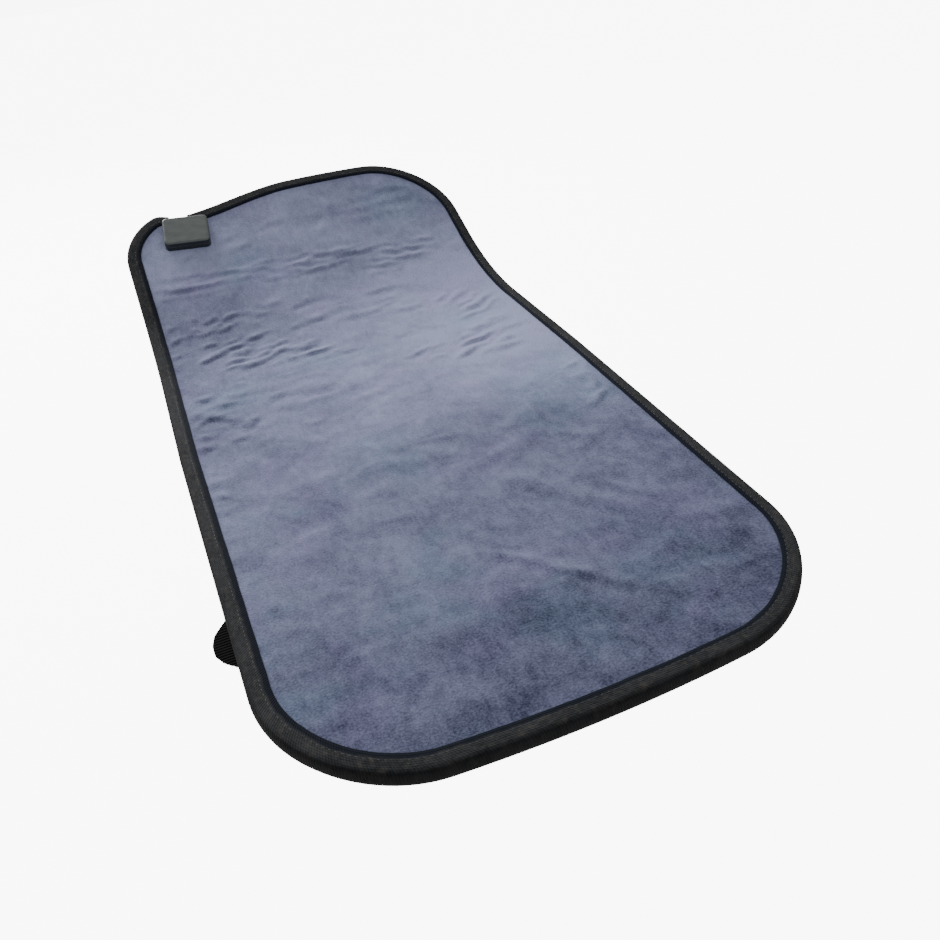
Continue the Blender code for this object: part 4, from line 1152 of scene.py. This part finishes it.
def ribbed(name, x, s, body, node):
    """Elastic webbing with cords along it and a thinner rim."""
    rim = np.clip((STRAP_WIDTH / 2 - np.abs(s - STRAP_S)) / STRAP_RIM, 0, 1)
    cords = CORD_HEIGHT * (np.cos((s - STRAP_S) * 2 * math.pi / STRAP_CORD) - 1)
    cords = cords * rim - RIM_DROP * (1 - rim)
    ripple = RIPPLE_HEIGHT * np.sin(x * 2 * math.pi / RIPPLE_PITCH)
    low = STRAP_TOP - STRAP_CLOTH - cords * 0.9 + ripple * rim
    obj = slab(name, x, s, low, STRAP_TOP + cords, whole(x))
    fit(obj, WEBBING, "elastic", body, node)


def build_strap():
    half = STRAP_WIDTH / 2
    ss = np.linspace(STRAP_S - half, STRAP_S + half, 101)
    x, s = np.meshgrid(np.linspace(STRAP_END_ROOT_X + STRAP_GAP, STRAP_SEAM_X, 164), ss)
    ribbed("strap_webbing", x, s, "strap", "strap_elastic")
    share = np.linspace(0, 1, 45)
    tips = strap_tip_x(ss)[:, None]
    s = np.repeat(ss[:, None], len(share), axis=1)
    x = tips + (STRAP_END_ROOT_X - STRAP_GAP - tips) * share[None, :]
    ribbed("strap_end_webbing", x, s, "strap_tip", "strap_end")

    for name, low, material, body, up in (
        ("hook", STRAP_TOP + 0.3 * MM, HOOKS, "strap_tip", True),
        ("loop", STRAP_TOP + 0.6 * MM + PATCH_CLOTH, LOOPS, "near_half", False),
    ):
        xs = np.linspace(PATCH_X - PATCH_LENGTH / 2, PATCH_X + PATCH_LENGTH / 2, 45)
        x, s = np.meshgrid(xs, np.linspace(STRAP_S - half + 3 * MM, STRAP_S + half - 3 * MM, 57))
        fuzz = PATCH_FUZZ * np.clip(soft_noise(x, s, 1.4 * MM, 11), -1, 1)
        obj = slab(f"{name}_patch_tape", x, s, low + fuzz * (not up), low + PATCH_CLOTH + fuzz * up, whole(x))
        fit(obj, material, f"{name}_tape", body, f"{name}_patch")


# ---- carried-over hard parts

BOARD = plastic_material("board_resist", (0.018, 0.085, 0.030), (0.035, 0.140, 0.055), 0.30)
RESIN = plastic_material("resin_bead", (0.010, 0.010, 0.012), (0.028, 0.028, 0.032), 0.22)
BRASS = metal_material("brass_pin", (0.50, 0.36, 0.15), (0.80, 0.62, 0.30), 0.18)
CARBON = wire_material("heating_braid", (0.012, 0.012, 0.012), (0.060, 0.060, 0.062), 0.0012)
RED = wire_material("lead_red_sleeve", (0.26, 0.018, 0.018), (0.46, 0.035, 0.035), 0.004)
BLUE = wire_material("lead_blue_sleeve", (0.018, 0.04, 0.24), (0.04, 0.08, 0.42), 0.004)
HARD_PARTS = (
    ("socket_lower_shell", SHELL, "shell_plastic"),
    ("socket_upper_shell", SHELL, "shell_plastic"),
    ("socket_backplate", CARRIER, "carrier_plastic"),
    ("contact_carrier", CARRIER, "carrier_plastic"),
    ("socket_board", BOARD, "board"),
    ("contact_pin", BRASS, "brass"),
    ("socket_screw", STEEL, "steel"),
    ("overheat_thermostat", STEEL, "steel"),
    ("temperature_sensor", RESIN, "resin"),
    ("lead_live", RED, "lead_red"),
    ("lead_neutral", BLUE, "lead_blue"),
    ("heating_wire", CARBON, "heating_wire"),
)


def dress_hard_parts():
    for name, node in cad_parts.items():
        for start, material, slot in HARD_PARTS:
            if name.startswith(start):
                dress(node, material)


# ---- stage


FLOOR_HEIGHT = -0.40  # low enough to be clear of the pad and the strap at every pose
FLOOR_SIZE = 12
WORLD_LIGHT = 0.65
BACKDROP_LIGHT = 8.0  # of the floor and the world, as the camera sees them
LIGHTS = (  # name, place, aim, size, power
    ("key", (-0.5, 2.0, 1.1), (0, 0.05, 0), 0.9, 60),
    ("fill", (1.2, -1.2, 1.4), (0, 0, 0), 1.8, 6),
)


def floor_material():
    """A pale sheet: evenly bright to the camera, matt paper to the object, and clear from below."""
    m = Shader("floor_white")
    seen = m.put("ShaderNodeLightPath").outputs["Is Camera Ray"]
    below = m.put("ShaderNodeNewGeometry").outputs["Backfacing"]
    return m.finish(
        (0.9, 0.9, 0.9),
        0.95,
        Specular_IOR_Level=0.05,
        Emission_Color=(1.0, 1.0, 1.0),
        Emission_Strength=m.times(seen, BACKDROP_LIGHT),
        Alpha=m.math("SUBTRACT", 1.0, below),
    )


def build_stage():
    bpy.ops.mesh.primitive_plane_add(size=FLOOR_SIZE, location=(0, 0, FLOOR_HEIGHT))
    floor = bpy.context.object
    floor.name = "floor"
    floor.data.materials.append(floor_material())
    world = bpy.data.worlds.new("studio")
    world.use_nodes = True
    nodes, links = world.node_tree.nodes, world.node_tree.links
    background = nodes["Background"]
    background.inputs[0].default_value = (1.0, 1.0, 1.0, 1.0)
    strength = nodes.new("ShaderNodeMapRange")
    strength.inputs["To Min"].default_value = WORLD_LIGHT
    strength.inputs["To Max"].default_value = BACKDROP_LIGHT
    links.new(nodes.new("ShaderNodeLightPath").outputs["Is Camera Ray"], strength.inputs["Value"])
    links.new(strength.outputs[0], background.inputs[1])
    bpy.context.scene.world = world
    for name, place, aim, size, power in LIGHTS:
        light = bpy.data.lights.new(name, "AREA")
        light.shape = "SQUARE"
        light.size = size
        light.energy = power
        lamp = bpy.data.objects.new(name, light)
        bpy.context.scene.collection.objects.link(lamp)
        lamp.location = place
        lamp.rotation_euler = (Vector(aim) - Vector(place)).to_track_quat("-Z", "Y").to_euler()


CAMERA_AIM = Vector((0.01428, -0.07415, 0.0086))
CAMERA_DISTANCE = 0.5790
CAMERA_AZIMUTH = math.radians(-18.269)
CAMERA_ELEVATION = math.radians(35.293)
CAMERA_ROLL = math.radians(-7.310)
CAMERA_LENS = 35.93


def build_camera():
    az, el = CAMERA_AZIMUTH, CAMERA_ELEVATION
    back = Vector((math.sin(az) * math.cos(el), -math.cos(az) * math.cos(el), math.sin(el)))
    right = Vector((math.cos(az), math.sin(az), 0))
    up = back.cross(right)
    turned_right = math.cos(CAMERA_ROLL) * right + math.sin(CAMERA_ROLL) * up
    turned_up = -math.sin(CAMERA_ROLL) * right + math.cos(CAMERA_ROLL) * up
    data = bpy.data.cameras.new("camera")
    data.lens = CAMERA_LENS
    camera = bpy.data.objects.new("camera", data)
    bpy.context.scene.collection.objects.link(camera)
    turn = Matrix((turned_right, turned_up, back)).transposed().to_4x4()
    camera.matrix_world = Matrix.Translation(CAMERA_AIM + back * CAMERA_DISTANCE) @ turn
    bpy.context.scene.camera = camera


build_velvet()
build_sheets()
build_binding()
build_notch_lining()
build_strap()
dress_hard_parts()
build_stage()
build_camera()
